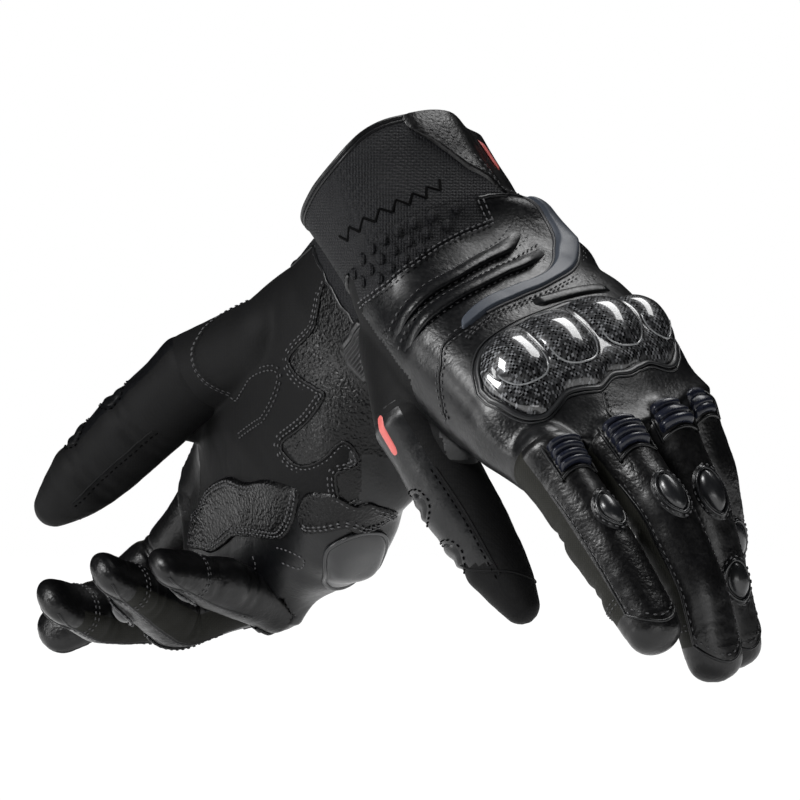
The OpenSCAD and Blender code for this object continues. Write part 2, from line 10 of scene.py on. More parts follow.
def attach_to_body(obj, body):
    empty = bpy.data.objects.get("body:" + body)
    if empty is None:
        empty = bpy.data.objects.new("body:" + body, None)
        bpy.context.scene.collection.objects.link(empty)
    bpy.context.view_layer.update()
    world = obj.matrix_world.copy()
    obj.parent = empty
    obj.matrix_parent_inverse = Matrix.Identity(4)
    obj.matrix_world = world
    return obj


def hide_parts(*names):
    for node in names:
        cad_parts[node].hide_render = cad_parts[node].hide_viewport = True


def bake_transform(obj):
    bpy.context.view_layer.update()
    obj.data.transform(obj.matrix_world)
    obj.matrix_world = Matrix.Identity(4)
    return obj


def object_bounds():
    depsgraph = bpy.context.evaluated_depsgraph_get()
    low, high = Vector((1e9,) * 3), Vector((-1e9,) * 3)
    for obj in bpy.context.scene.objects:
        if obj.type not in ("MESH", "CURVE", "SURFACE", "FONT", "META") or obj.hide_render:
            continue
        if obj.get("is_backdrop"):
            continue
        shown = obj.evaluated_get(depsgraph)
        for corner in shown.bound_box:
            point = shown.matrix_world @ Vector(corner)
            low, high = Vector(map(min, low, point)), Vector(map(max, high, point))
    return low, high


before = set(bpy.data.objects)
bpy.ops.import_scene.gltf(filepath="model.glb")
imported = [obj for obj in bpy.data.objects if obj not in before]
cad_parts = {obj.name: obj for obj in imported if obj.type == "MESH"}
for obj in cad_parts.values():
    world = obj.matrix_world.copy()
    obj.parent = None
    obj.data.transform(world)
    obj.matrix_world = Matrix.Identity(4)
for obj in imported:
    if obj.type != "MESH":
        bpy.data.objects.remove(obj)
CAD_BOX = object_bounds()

bl_info = {
    "name": "Riding gloves",
    "version": (1, 0, 0),
    "blender": (4, 5, 0),
    "location": "View3D > Sidebar > Gloves",
    "description": "Builds a pair of leather riding gloves with armour and stretch folds",
    "category": "Object",
}

MM = 0.001
SIDES = ("left", "right")
FINGERS = ("index", "middle", "ring", "little")

# Sections along the hand in mm: station, half width, half depth
STATIONS = ((-30, 33.5, 23), (0, 33.5, 21.5), (45, 43, 22), (78, 43.5, 19), (111, 44.5, 15.5))
SQUARENESS = 2.7
PALM_Y = 45
WEB_Y = 111
BEND_Y = 30
WRIST_BEND = 20
KNUCKLE_SLOPE = 4.5
KNUCKLE_NARROWING = 2.4
# Where a worn hand departs from its plain section: start and length, or low, high and soft width
TUCK_SPAN = (75, 30)
BULGE_SPAN = (25, 58, 18)
WRIST_SPAN = (-40, 25, 20)
HOLLOW_SPAN = (62, 34)
SLOPE_SPAN = (88, 23)
NARROW_SPAN = (90, 21)
# The height that gives the way out of a form, and the rays that find the finished hide: start and reach
PROBE = 3
RAY_START = 16
RAY_REACH = 26
BACK_RAY = (14, 24)
EDGE_RAY = (8, 11)
ROOT_LINE = ((-46.5, 91), (-32.5, 96), (-12.5, 107), (9.5, 111), (31.5, 106), (45.5, 101))

# Fingers: root, sideways turn, length, radius
FINGER = {
    "index": ((31.5, 106, 2), 1, 76, 11.2),
    "middle": ((9.5, 111, 3), 0, 84, 11.2),
    "ring": ((-12.5, 107, 2), -3, 79, 10.8),
    "little": ((-32.5, 96, -2), -7, 62, 9.8),
}
FIRST_JOINT = 0.34
SECOND_JOINT = 0.645
JOINT_LENGTH = 12
SLIMNESS = 0.94
FINGER_TAPER = 0.16
THUMB_LENGTH = 76
THUMB_FORM = {
    "left": ((-13, 11), (0, 11.2), (12, 11.8), (24, 12.2), (40, 11.4), (55, 9.8), (64, 8.2), (71, 6.0),
             (76, 4.0)),
    "right": ((-13, 13.6), (0, 13.6), (30, 13.5), (48, 12.7), (58, 11.2), (66, 8.8), (72, 6.2), (76, 4.0)),
}
THENAR_BASE = (22, 19, -9)
THENAR_RADIUS = 15.5

# What differs between the two gloves: rest, cupping, thumb and the bends of each finger
POSE = {
    "left": {
        "turn": (-31, 12, -146), "place": (15.2, -40.7, 127.1), "curl": 0,
        "thumb_root": (38.2, 45.8, -18.1), "thumb_lean": (-6.3, 30), "flat": 0.12,
        "tuck": 3, "bulge": 0, "hollow": 0, "wrist": 0,
        "shift": {"index": (0, 0, 0), "middle": (0, 0, 0), "ring": (1, 0, 0), "little": (3, 0, 0)},
        "index": (18, 2, 2), "middle": (16, 15, 19), "ring": (33, 18, 3), "little": (44, 20, 10),
    },
    "right": {
        "turn": (-78, 45.5, -49.5), "place": (-13.8, 50.8, 102.8), "curl": 10,
        "thumb_root": (35.8, 45.3, -21), "thumb_lean": (2.2, 30), "flat": 0.42,
        "tuck": 9, "bulge": 5, "hollow": 6, "wrist": 4,
        "shift": {"index": (-3, 1, 4), "middle": (0, 0, 1), "ring": (3, 0, 0), "little": (7.5, 0, 0)},
        "index": (9, 25, 12), "middle": (28, 60, 24), "ring": (64, 55, 0), "little": (106, 2, 0),
    },
}


def smooth(t):
    t = min(1.0, max(0.0, t))
    return t * t * (3 - 2 * t)


def mix(a, b, t):
    return a + (b - a) * t


def window(x, low, high, soft):
    """One between low and high, falling to nothing over the soft width beyond."""
    return smooth((x - low) / soft + 1) * smooth((high - x) / soft + 1)


def onset(x, start, length):
    """Nothing up to start, one from a length past it."""
    return smooth((x - start) / length)


def table(x, rows, column=1):
    """Linear look-up in rows sorted by their first value."""
    if x <= rows[0][0]:
        return rows[0][column]
    for low, high in zip(rows, rows[1:]):
        if x <= high[0]:
            return mix(low[column], high[column], (x - low[0]) / (high[0] - low[0]))
    return rows[-1][column]


def power(c, e):
    return math.copysign(abs(c) ** e, c)


def steps(a, b, n):
    return [a + (b - a) * i / n for i in range(n + 1)]


class Glove:
    """The form of one glove in its own frame, in mm, and its place in the scene, in metres."""

    def __init__(self, side):
        self.side = side
        pose = POSE[side]
        self.pose = pose
        self.curl = pose["curl"]
        turn = Euler([math.radians(a) for a in pose["turn"]], "XYZ").to_matrix().to_4x4()
        flip = Matrix.Diagonal((-1 if side == "right" else 1, 1, 1, 1))
        self.matrix = Matrix.Scale(MM, 4) @ Matrix.Translation(pose["place"]) @ turn @ flip
        self.lines = {f: self._centre_line(f) for f in FINGERS}
        lean = [math.radians(a) for a in pose["thumb_lean"]]
        self.thumb_way = Vector((math.sin(lean[0]) * math.cos(lean[1]),
                                 math.cos(lean[0]) * math.cos(lean[1]), -math.sin(lean[1])))
        self.thumb_side = self.thumb_way.cross(Vector((0, 0, 1))).normalized()
        self.thumb_up = self.thumb_side.cross(self.thumb_way)
        self.trees = {}

    def world(self, point):
        return self.matrix @ Vector(point)

    def body(self, part):
        return f"{self.side}_{part}"

    def _cupped(self, p, u):
        if u <= PALM_Y:
            return p
        a = math.radians(self.curl * (u - PALM_Y) / (WEB_Y - PALM_Y))
        reach = p.y - PALM_Y
        return Vector((p.x, PALM_Y + reach * math.cos(a / 2) + p.z * math.sin(a),
                       p.z * math.cos(a) - reach * math.sin(a / 2)))

    def _worn(self, x, z, u):
        """The section's x and z as a worn hand shapes it."""
        ulnar, radial = smooth(-x / 35), smooth((x - 2) / 26)
        x += ulnar * (self.pose["tuck"] * onset(u, *TUCK_SPAN) - self.pose["bulge"] * window(u, *BULGE_SPAN))
        x += radial * self.pose["wrist"] * window(u, *WRIST_SPAN)
        z += self.pose["hollow"] * onset(u, *HOLLOW_SPAN) * radial * smooth(-z / 8)
        z -= KNUCKLE_SLOPE * onset(u, *SLOPE_SPAN) * smooth(z / 12)
        x -= KNUCKLE_NARROWING * onset(u, *NARROW_SPAN) * smooth(x / 36)
        return x, z

    def hand(self, u, v, h=0):
        """Station u, angle v from the thumb side over the back, height h over the hide."""
        c, s = math.cos(math.radians(v)), math.sin(math.radians(v))
        x = (table(u, STATIONS) + h) * power(c, 2 / SQUARENESS)
        z = (table(u, STATIONS, 2) + h) * power(s, 2 / SQUARENESS)
        x, z = self._worn(x, z, u)
        y = u + (table(x, ROOT_LINE) - WEB_Y) * smooth((u - PALM_Y) / (WEB_Y - PALM_Y))
        if u >= BEND_Y:
            return self._cupped(Vector((x, y, z)), u)
        a = math.radians(-WRIST_BEND * min(1, (BEND_Y - u) / BEND_Y))
        d = y - BEND_Y
        return Vector((x, BEND_Y + d * math.cos(a) - z * math.sin(a), d * math.sin(a) + z * math.cos(a)))

    def back(self, x, y, h=0):
        """A point over the back of the hand from its own x and y."""
        u = y - (table(x, ROOT_LINE) - WEB_Y) * smooth((y - PALM_Y) / (WEB_Y - PALM_Y))
        for _ in range(3):
            u = y - (table(x, ROOT_LINE) - WEB_Y) * smooth((u - PALM_Y) / (WEB_Y - PALM_Y))
        half = table(u, STATIONS)
        share = max(-1.0, min(1.0, power(x / half, SQUARENESS / 2)))
        return self.hand(u, math.degrees(math.acos(share)), h)

    def _finger_angle(self, f, s):
        bend, length = self.pose[f], FINGER[f][2]
        first = smooth((s - FIRST_JOINT * length) / JOINT_LENGTH + 0.5)
        second = smooth((s - SECOND_JOINT * length) / JOINT_LENGTH + 0.5)
        return math.radians(self.curl + bend[0] + bend[1] * first + bend[2] * second)

    def _forward(self, f, s):
        yaw, a = math.radians(FINGER[f][1]), self._finger_angle(f, s)
        return Vector((math.sin(yaw) * math.cos(a), math.cos(yaw) * math.cos(a), -math.sin(a)))

    def _centre_line(self, f):
        root = Vector(FINGER[f][0]) + Vector(self.pose["shift"][f])
        line = [self._cupped(root, root.y)]
        for i in range(FINGER[f][2] * 2 + 20):
            line.append(line[-1] + self._forward(f, (i + 0.5) / 2) / 2)
        return line

    def centre(self, f, s):
        line = self.lines[f]
        if s <= 0:
            return line[0] + self._forward(f, -1) * s
        i = min(int(s * 2), len(line) - 2)
        return line[i].lerp(line[i + 1], s * 2 - i)

    def finger(self, f, s, v, h=0):
        """Distance s from the root, angle v from the thumb's side over the back, height h."""
        _, yaw, length, radius = FINGER[f]
        yaw, a, v = math.radians(yaw), self._finger_angle(f, s), math.radians(v)
        r = stall_radius(length, radius, FINGER_TAPER, s)
        across = Vector((math.cos(yaw), -math.sin(yaw), 0))
        up = Vector((math.sin(yaw) * math.sin(a), math.cos(yaw) * math.sin(a), math.cos(a)))
        deep = r * (1 - self.pose["flat"] * smooth((s / length - 0.45) / 0.5))
        return self.centre(f, s) + across * (r * SLIMNESS + h) * math.cos(v) + up * (deep + h) * math.sin(v)

    def thumb_radius(self, s):
        rows = THUMB_FORM[self.side]
        r = sum(table(s + d, rows) for d in (-4, -2, 0, 2, 4)) / 5
        return r * math.sqrt(max(0.02, 1 - max(0.0, (s - THUMB_LENGTH + 4) / 4) ** 2))

    def thumb(self, s, v, h=0):
        r = self.thumb_radius(s) + h
        v = math.radians(v)
        middle = Vector(self.pose["thumb_root"]) + self.thumb_way * s
        return middle + self.thumb_side * r * math.cos(v) + self.thumb_up * r * math.sin(v)

    def thumb_axis(self, s):
        return Vector(self.pose["thumb_root"]) + self.thumb_way * s

    def form(self, part):
        """The form of a part as one function of (along, round, height)."""
        if part in ("hand", "cuff"):
            return self.hand
        if part == "thumb":
            return self.thumb
        return lambda s, v, h=0: self.finger(part, s, v, h)

    def root(self, part):
        return Vector(self.pose["thumb_root"]) if part == "thumb" else self.lines[part][0]

    def way(self, part):
        return self.thumb_way if part == "thumb" else self._forward(part, -1)

    def seat(self, part, a, b, h=0):
        """A point at height h over the finished hide of a part, and the direction out of it."""
        form = self.form(part)
        low = form(a, b, 0)
        out = (form(a, b, PROBE) - low).normalized()
        tree = self.trees.get(part)
        if tree:
            hit = tree.ray_cast(low + out * RAY_START, -out, RAY_REACH)[0]
            low = hit or low
        return low + out * h, out

    def over(self, part, a, b, h=0):
        """The same over whichever lies outside there, the part's own hide or the hand's."""
        form = self.form(part)
        low = form(a, b)
        out = (form(a, b, PROBE) - low).normalized()
        hits = [self.trees[name].ray_cast(low + out * RAY_START, -out, RAY_REACH)[0]
                for name in ("hand", part)]
        far = max((hit - low).dot(out) for hit in hits if hit)
        return low + out * (far + h), out


def stall_radius(length, radius, taper, s):
    """Radius of a stall: a ball behind the root, a taper, and a round tip."""
    tip = radius * (1 - taper)
    past = s - (length - tip)
    if s < 0:
        return radius * math.sqrt(max(0.02, 1 - (s / radius) ** 2))
    if past > 0:
        return tip * max(0.02, 1 - (past / tip) ** 2.7) ** 0.5
    return radius * (1 - taper * s / length)


GLOVES = {side: Glove(side) for side in SIDES}


def sheet(bm, point, rows, columns, weld=False):
    """Faces through point(a, b), which gives a place and the way out of it, a and b from 0 to 1."""
    made = bmesh.ops.create_grid(bm, x_segments=rows, y_segments=columns, size=0.5)["verts"]
    bm.verts.index_update()
    ways = {}
    for vert in made:
        vert.co, ways[vert] = point(vert.co.x + 0.5, vert.co.y + 0.5)
    faces = list({f for vert in made for f in vert.link_faces})
    for f in faces:
        f.normal_update()
    if sum(f.normal.dot(ways[f.verts[0]]) for f in faces) < 0:
        bmesh.ops.reverse_faces(bm, faces=faces)
    if weld:
        bmesh.ops.remove_doubles(bm, verts=made, dist=2e-6)
    return faces


def placed(glove, spot):
    """Turns a place and a way out in the glove's frame into the scene's."""
    p, out = spot
    return glove.matrix @ p, (glove.matrix.to_3x3() @ out).normalized()


def loft(bm, glove, point, rows, columns):
    """A tube through point(along, angle) in the glove's frame, with its outside found from its middle."""
    middles = {}

    def spot(a, b):
        p = point(a, 360 * b)
        if a not in middles:
            middles[a] = sum((point(a, 90 * k) for k in range(4)), Vector()) / 4
        return placed(glove, (p, (p - middles[a]) or Vector((0, 0, 1))))

    return sheet(bm, spot, rows, columns, weld=True)


def show(bm, name, material, sharp=None):
    """Makes an object of a finished bmesh."""
    mesh = bpy.data.meshes.new(name)
    bm.to_mesh(mesh)
    bm.free()
    mesh.shade_smooth()
    if sharp:
        mesh.set_sharp_from_angle(angle=math.radians(sharp))
    mesh.materials.append(material)
    obj = bpy.data.objects.new(name, mesh)
    bpy.context.scene.collection.objects.link(obj)
    return obj


def settled(obj, *modifiers):
    """Gives obj the mesh that the modifiers make of it: pairs of type and settings."""
    for kind, settings in modifiers:
        modifier = obj.modifiers.new(kind, kind)
        for key, value in settings.items():
            setattr(modifier, key, value)
    graph = bpy.context.evaluated_depsgraph_get()
    mesh = bpy.data.meshes.new_from_object(obj.evaluated_get(graph))
    obj.modifiers.clear()
    obj.data = mesh
    mesh.shade_smooth()
    return obj


BLEND_START = -3
BLEND_END = 9


def attach(obj, glove, part, slot, *nodes):
    """Parents obj to its part's body for the hand, the strap and pieces on a part; for any other part only
    bakes its transform. Hides the CAD nodes that it stands for.
    """
    if part in ("hand", "strap") or part.startswith("on_"):
        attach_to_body(obj, glove.body(part.removeprefix("on_")))
    else:
        root, way = glove.root(part), glove.way(part)
        glove.body("hand")
        glove.body(part)
        glove.world(root + way * BLEND_START)
        glove.world(root + way * BLEND_END)
        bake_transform(obj)
    if nodes:
        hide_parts(*[glove.body(n) for n in nodes])
    return obj


def piece(glove, bm, name, material, part, slot, *nodes):
    """Shows a finished bmesh as a piece and hands it to attach with its part."""
    return attach(show(bm, glove.body(name), material), glove, part, slot, *nodes)


class Socket:
    """An output of a shader node that can be reckoned with."""

    def __init__(self, tree, socket):
        self.tree = tree
        self.socket = socket

    def math(self, operation, a, b):
        node = self.tree.nodes.new("ShaderNodeMath")
        node.operation = operation
        for slot, value in zip(node.inputs, (a, b)):
            if isinstance(value, Socket):
                self.tree.links.new(value.socket, slot)
            else:
                slot.default_value = value
        return Socket(self.tree, node.outputs[0])

    def __add__(self, other):
        return self.math("ADD", self, other)

    __radd__ = __add__

    def __mul__(self, other):
        return self.math("MULTIPLY", self, other)

    __rmul__ = __mul__

    def __rsub__(self, other):
        return self.math("SUBTRACT", other, self)

    def __pow__(self, other):
        return self.math("POWER", self, other)


class Finish:
    """A material built from nodes round one principled shader."""

    def __init__(self, name):
        self.material = bpy.data.materials.new(name)
        self.material.use_nodes = True
        self.tree = self.material.node_tree
        self.shader = self.tree.nodes["Principled BSDF"]

    def node(self, kind, inputs=(), output=0, **settings):
        """A node with settings and inputs, pairs of socket and value; gives one of its outputs."""
        node = self.tree.nodes.new(kind)
        for key, value in settings.items():
            setattr(node, key, value)
        for key, value in inputs:
            if isinstance(value, Socket):
                self.tree.links.new(value.socket, node.inputs[key])
            else:
                node.inputs[key].default_value = value
        return Socket(self.tree, node.outputs[output])

    def place(self, *stretch):
        """Object coordinates in mm, stretched along the axes."""
        here = self.node("ShaderNodeTexCoord", output="Object")
        return self.node("ShaderNodeMapping", [("Vector", here), ("Scale", [1000 * s for s in stretch])])

    def noise(self, where, scale, detail=3, rough=0.55, warp=0):
        return self.node("ShaderNodeTexNoise", [("Vector", where), ("Scale", scale), ("Detail", detail),
                                                ("Roughness", rough), ("Distortion", warp)])

    def cells(self, where, scale, feature="F1", randomness=1.0):
        return self.node("ShaderNodeTexVoronoi",
                         [("Vector", where), ("Scale", scale), ("Randomness", randomness)], feature=feature)

    def tint(self, factor, dark, light):
        return self.node("ShaderNodeMix", [("Factor", factor), ("A", (*dark, 1)), ("B", (*light, 1))],
                         output=2, data_type="RGBA")

    def range(self, value, low, high, start=0.0, end=1.0):
        return self.node("ShaderNodeMapRange", [("Value", value), ("From Min", start), ("From Max", end),
                                                ("To Min", low), ("To Max", high)])

    def feed(self, **inputs):
        """Links or sets the shader's inputs, named with underscores for spaces."""
        for key, value in inputs.items():
            slot = self.shader.inputs[key.replace("_", " ")]
            if isinstance(value, Socket):
                self.tree.links.new(value.socket, slot)
            else:
                slot.default_value = value
        return self

    def bump(self, height, depth, strength=1.0):
        """Raises the surface by height times depth, in mm."""
        self.feed(Normal=self.node("ShaderNodeBump", [("Height", height), ("Distance", depth * MM),
                                                      ("Strength", strength)]))
        return self


def tone(color, factor):
    return tuple(min(1.0, c * factor) for c in color[:3])


def leather(name, color, shine, grain, crease, even=0.1, gloss=0.34):
    """Leather with a fine pebbled grain and soft creases; shine is its roughness."""
    m = Finish(name)
    where = m.place(1, 1, 1)
    pores = m.cells(where, 1.1, "SMOOTH_F1")
    fine = m.noise(where, 0.8, 2, 0.5, 0.15)
    folds = m.noise(where, 0.12, 2, 0.5, 0.5)
    worn = m.range(m.noise(where, 0.05, 2), even, 1.0, 0.42, 0.62)
    relief = pores * worn * grain + fine * worn * crease + folds * (crease * 0.5)
    m.feed(Base_Color=m.tint(folds, tone(color, 0.7), tone(color, 1.3)),
           Roughness=m.range(fine, shine - 0.04, shine + 0.06, 0.3, 0.7), Specular_IOR_Level=gloss)
    return m.bump(relief, 1.0, 0.8).material


def cloth(name, color, pitch, depth, shine):
    """Woven or knitted stretch fabric: rows of raised stitches, with painted highlight on their tops and
    painted shade between them.
    """
    m = Finish(name)
    where = m.place(1, 1, 1)
    knots = m.cells(where, 1 / pitch, randomness=0.2)
    fuzz = m.noise(where, 1.6, 3)
    # Painted highlight and shade: the colour is lighter on the raised middle of each stitch and darker in the
    # gaps between stitches.
    m.feed(Base_Color=m.tint(knots, tone(color, 1.9), tone(color, 0.2)), Roughness=0.62,
           Specular_IOR_Level=shine)
    return m.bump((1 - knots) * depth + fuzz * (depth * 0.3), 1.0, 1.0).material


def moulded(name, color, shine, coat=0.0):
    """Smooth rubber or plastic with a faint texture."""
    m = Finish(name)
    grain = m.noise(m.place(1, 1, 1), 1.6, 2)
    m.feed(Base_Color=m.tint(grain, tone(color, 0.85), tone(color, 1.15)),
           Roughness=m.range(grain, shine - 0.05, shine + 0.07), Coat_Weight=coat, Coat_Roughness=0.08)
    return m.bump(grain, 0.05, 0.5).material


def locator(form, alongs, turns):
    """A function that gives the nearest place (along, turn) on a form to a point, and how far it is."""
    spots = [(a, b) for a in alongs for b in turns]
    tree = kdtree.KDTree(len(spots))
    for i, (a, b) in enumerate(spots):
        tree.insert(form(a, b), i)
    tree.balance()

    def find(p):
        _, i, far = tree.find(p)
        return (*spots[i], far)

    return find


def local_tree(glove, obj):
    """The surface of obj in the glove's own frame, for setting trim on it."""
    back = glove.matrix.inverted()
    return BVHTree.FromPolygons([back @ v.co for v in obj.data.vertices],
                                [p.vertices[:] for p in obj.data.polygons])


def fill_ends(bm):
    bmesh.ops.holes_fill(bm, edges=[e for e in bm.edges if e.is_boundary], sides=0)


HIDE_VOXEL = 1.02
HIDE_SMOOTHING = 7
HIDE_ENDS = (-19, WEB_Y)
STUB_REACH = 8
FINGER_CUT = 1.5
WEB_REACH = 20
WEB_ROOTS = ((52, 330), (62, 325), (70, 322))
WEB_RADIUS = 7.5


def lump(bm, glove, a, b, radius):
    """A rod with round ends between two points of the glove's frame."""
    axis = (b - a).normalized()
    side = axis.orthogonal().normalized()
    length = (b - a).length

    def skin(share, v):
        t = mix(-radius, length + radius, share)
        over = max(0.0, -t, t - length)
        r = radius * math.sqrt(max(0.0004, 1 - (over / radius) ** 2))
        turn = math.radians(v)
        return a + axis * t + (side * math.cos(turn) + axis.cross(side) * math.sin(turn)) * r

    loft(bm, glove, skin, 24, 20)


def hand_block(bm, glove):
    """The closed lumps that the hide is drawn over: hand, swell of the thumb, roots of the fingers."""
    def palm(a, v):
        past = max(0.0, a - 0.94) / 0.06
        u = mix(HIDE_ENDS[0], HIDE_ENDS[1], min(a, 0.94) / 0.94)
        return glove.hand(u, v, wrist_swell(u, v) - 7 * past ** 2) + Vector((0, 3.5 * math.sqrt(past), 0))

    loft(bm, glove, palm, 92, 96)
    for f in FINGERS:
        loft(bm, glove, lambda a, v: glove.finger(f, mix(-0.99 * FINGER[f][3], STUB_REACH, a), v), 24, 40)
    base, root = Vector(THENAR_BASE), glove.root("thumb")
    end_radius = glove.thumb_radius(0) + 0.2
    axis = (root - base).normalized()
    side = axis.cross(Vector((0, 0, 1))).normalized()
    length = (root - base).length

    def swell(a, v):
        t = mix(-THENAR_RADIUS, length + end_radius, a)
        r = mix(THENAR_RADIUS, end_radius, min(1, max(0, t / length)))
        over = max(0.0, -t, t - length)
        r *= math.sqrt(max(0.0004, 1 - (over / r) ** 2))
        turn = math.radians(v)
        return base + axis * t + (side * math.cos(turn) + axis.cross(side) * math.sin(turn)) * r

    loft(bm, glove, swell, 40, 48)
    web_tip = glove.thumb_axis(WEB_REACH)
    for u, v in WEB_ROOTS:
        inner = glove.hand(u, v, -8)
        for share in (0.35, 0.7, 1.0):
            lump(bm, glove, root.lerp(web_tip, share), inner.lerp(web_tip, 0.25), WEB_RADIUS)
    fill_ends(bm)


def open_mouths(bm, glove):
    """Cuts the wrist and the roots of the stalls open."""
    back = glove.matrix.inverted()
    find = locator(glove.hand, steps(HIDE_ENDS[0] - 1, 10, 60), steps(0, 357.5, 143))
    gone = []
    for face in bm.faces:
        p = back @ face.calc_center_median()
        u, v, _ = find(p) if p.y < 12 else (WEB_Y, 0, 0)
        cut = u < wrist_line(v)
        for part in FINGERS:
            from_root = p - glove.root(part)
            along = from_root.dot(glove.way(part))
            across = (from_root - glove.way(part) * along).length
            cut = cut or (FINGER_CUT < along < STUB_REACH + 3 and across < FINGER[part][3] * 1.12)
        if cut:
            gone.append(face)
    bmesh.ops.delete(bm, geom=gone, context="FACES")


def ripple(p, seed, depth):
    """Soft unevenness of worn leather, in mm."""
    q = p + Vector((seed * 37.0, 0, 0))
    broad = noise.noise(q * 0.05)
    fine = noise.noise(Vector((q.x * 0.1, q.y * 0.22, q.z * 0.1)))
    crease = 1 - abs(noise.noise(q * 0.11))
    return depth * (0.5 * broad + 0.12 * fine - 0.15 * crease ** 6)


def hand_hide(glove, look, material, *palm_materials):
    """The hide of the hand, open at the wrist and at the fingers."""
    bm = bmesh.new()
    hand_block(bm, glove)
    obj = show(bm, glove.body("hand_hide"), material)
    settled(obj, ("REMESH", {"mode": "VOXEL", "voxel_size": HIDE_VOXEL * MM}),
            ("SMOOTH", {"factor": 0.5, "iterations": HIDE_SMOOTHING}))
    bm = bmesh.new()
    bm.from_mesh(obj.data)
    open_mouths(bm, glove)
    back = glove.matrix.inverted()
    bm.normal_update()
    for vert in bm.verts:
        vert.co += vert.normal * (ripple(back @ vert.co, 1, look.wrinkles) * MM)
    bm.to_mesh(obj.data)
    bm.free()
    glove.trees["hand"] = local_tree(glove, obj)
    for extra in palm_materials:
        obj.data.materials.append(extra)
    paint_palm(glove, obj)
    settled(obj, ("SOLIDIFY", {"thickness": look.wall * MM, "offset": -1.0}))
    return attach(obj, glove, "hand", "leather", "back_panel", "palm_panel")


RIM = ((0, -30), (25, -30), (45, -32), (70, -36), (90, -36.5), (106, -34), (122, -30), (140, -28), (175, -29),
       (200, -30), (360, -30))
# Where the hide ends, how much further up the arm it goes on the palm, and at which angles
WRIST_END = -1
PALM_WRIST = 13
PALM_WRIST_SPAN = (225, 312, 14)
# The wrist's swell and waist at the little finger's side: height, stations, angles
SWELL = (3.6, (8, 26, 12), (135, 172, 24))
WAIST = (4, (-40, -6, 9), (128, 160, 24))


def wrist_line(v):
    """The station where the hide ends at an angle: further up the arm on the palm."""
    return WRIST_END - PALM_WRIST * window(v, *PALM_WRIST_SPAN)


def wrist_swell(u, v):
    """How far the wrist stands out of its plain section at the little finger's side, in mm."""
    swell, waist = (height * window(u, *stations) * window(v, *angles)
                    for height, stations, angles in (SWELL, WAIST))
    return swell - waist


def rim_at(v):
    """The station of the cuff's rim at an angle, without corners."""
    return sum(table((v + d) % 360, RIM) for d in (-10, -5, 0, 5, 10)) / 5


STALL_START = -5
COLLAR = 0.9
CREASE_WIDTH = 1.7


def stall_length(part):
    return THUMB_LENGTH if part == "thumb" else FINGER[part][2]


def stall_relief(part, s, v, depth):
    """Creases on the palm side at the joints, and fine ripples across a finger, in mm."""
    length = stall_length(part)
    under = smooth(0.5 - 0.9 * math.sin(math.radians(v)))
    seed = len(part) * 11.3
    deep = 0.0
    for share in (FIRST_JOINT, SECOND_JOINT):
        for shift in (-2.2, 2.0):
            deep -= math.exp(-((s - share * length - shift) / CREASE_WIDTH) ** 2)
        deep += 0.8 * math.exp(-((s - share * length - 7) / 4) ** 2)
    turn = math.radians(v)
    where = Vector((2.2 * math.cos(turn) + seed, 2.2 * math.sin(turn), s * 0.42))
    wide = Vector((1.2 * math.cos(turn) + seed, 1.2 * math.sin(turn), s * 0.13))
    return depth * (1.3 * deep * under + 0.2 * noise.noise(where) + 0.45 * noise.noise(wide))


def stall(glove, part, look, material, side_material, slot, *nodes):
    """The soft tube of a finger or of the thumb."""
    form = glove.form(part)
    length = stall_length(part)
    rows = int((length - STALL_START) / 0.8)

    def point(a, v):
        s = mix(STALL_START, length, a)
        sunk = -1.5 * (1 - smooth((s - STALL_START) / 6))
        calm = smooth((length - s) / 12) * smooth((s - 2) / 10)
        collar = 0.1 + COLLAR * math.exp(-((s - 1) / 6) ** 2)
        return form(s, v, sunk + collar + stall_relief(part, s, v, look.wrinkles) * calm)

    bm = bmesh.new()
    loft(bm, glove, point, rows, 72)
    fill_ends_at_tip(bm, glove, part)
    obj = show(bm, glove.body(f"{part}_hide"), material)
    glove.trees[part] = local_tree(glove, obj)
    obj.data.materials.append(side_material)
    paint_sides(glove, part, obj)
    return attach(obj, glove, part, slot, *nodes)


GUSSET = (-46, 20)
THUMB_BACK = (-70, 47)
# Where the leather on the thumb's back ends, and how that slants with the angle
THUMB_BACK_END = 52
THUMB_BACK_SLANT = 0.1
CAP_LENGTH = 13


def paint_sides(glove, part, obj):
    """Gives both sides of a finger the gusset's cloth, and the back of the thumb its leather."""
    form, length = glove.form(part), stall_length(part)
    find = locator(form, steps(-4, length - 2, 50), steps(-180, 176, 89))
    back = glove.matrix.inverted()
    for face in obj.data.polygons:
        s, v, _ = find(back @ face.center)
        rise = math.degrees(math.asin(math.sin(math.radians(v))))
        if part == "thumb":
            side = THUMB_BACK[0] < v < THUMB_BACK[1] and s < THUMB_BACK_END + THUMB_BACK_SLANT * v
        else:
            outer = part == "little" and abs(v) > 90
            side = s < length - CAP_LENGTH and GUSSET[0] < rise < GUSSET[1] and not outer
        face.material_index = int(side)


def fill_ends_at_tip(bm, glove, part):
    """Closes the small hole that a loft leaves at the tip of a stall."""
    root = glove.world(glove.root(part))
    edges = [e for e in bm.edges if e.is_boundary and (e.verts[0].co - root).length > 15 * MM]
    bmesh.ops.holes_fill(bm, edges=edges, sides=0)


def cuff(glove, look, material):
    """The stretch sleeve at the wrist; its end goes under the hide."""
    def point(a, v):
        u = mix(rim_at(v), 4, a)
        sunk = -1.6 * smooth((u - wrist_line(v) + 1) / 4)
        turn = math.radians(v)
        wave = 0.5 * noise.noise(Vector((1.5 * math.cos(turn), 1.5 * math.sin(turn), u * 0.09)))
        return glove.hand(u, v, 0.3 + sunk + wave + wrist_swell(u, v))

    bm = bmesh.new()
    loft(bm, glove, point, 36, 128)
    obj = show(bm, glove.body("cuff_sleeve"), material)
    glove.trees["cuff"] = local_tree(glove, obj)
    settled(obj, ("SOLIDIFY", {"thickness": look.wall * MM, "offset": -1.0}))
    return attach(obj, glove, "hand", "stretch_fabric", "cuff_back", "cuff_palm")


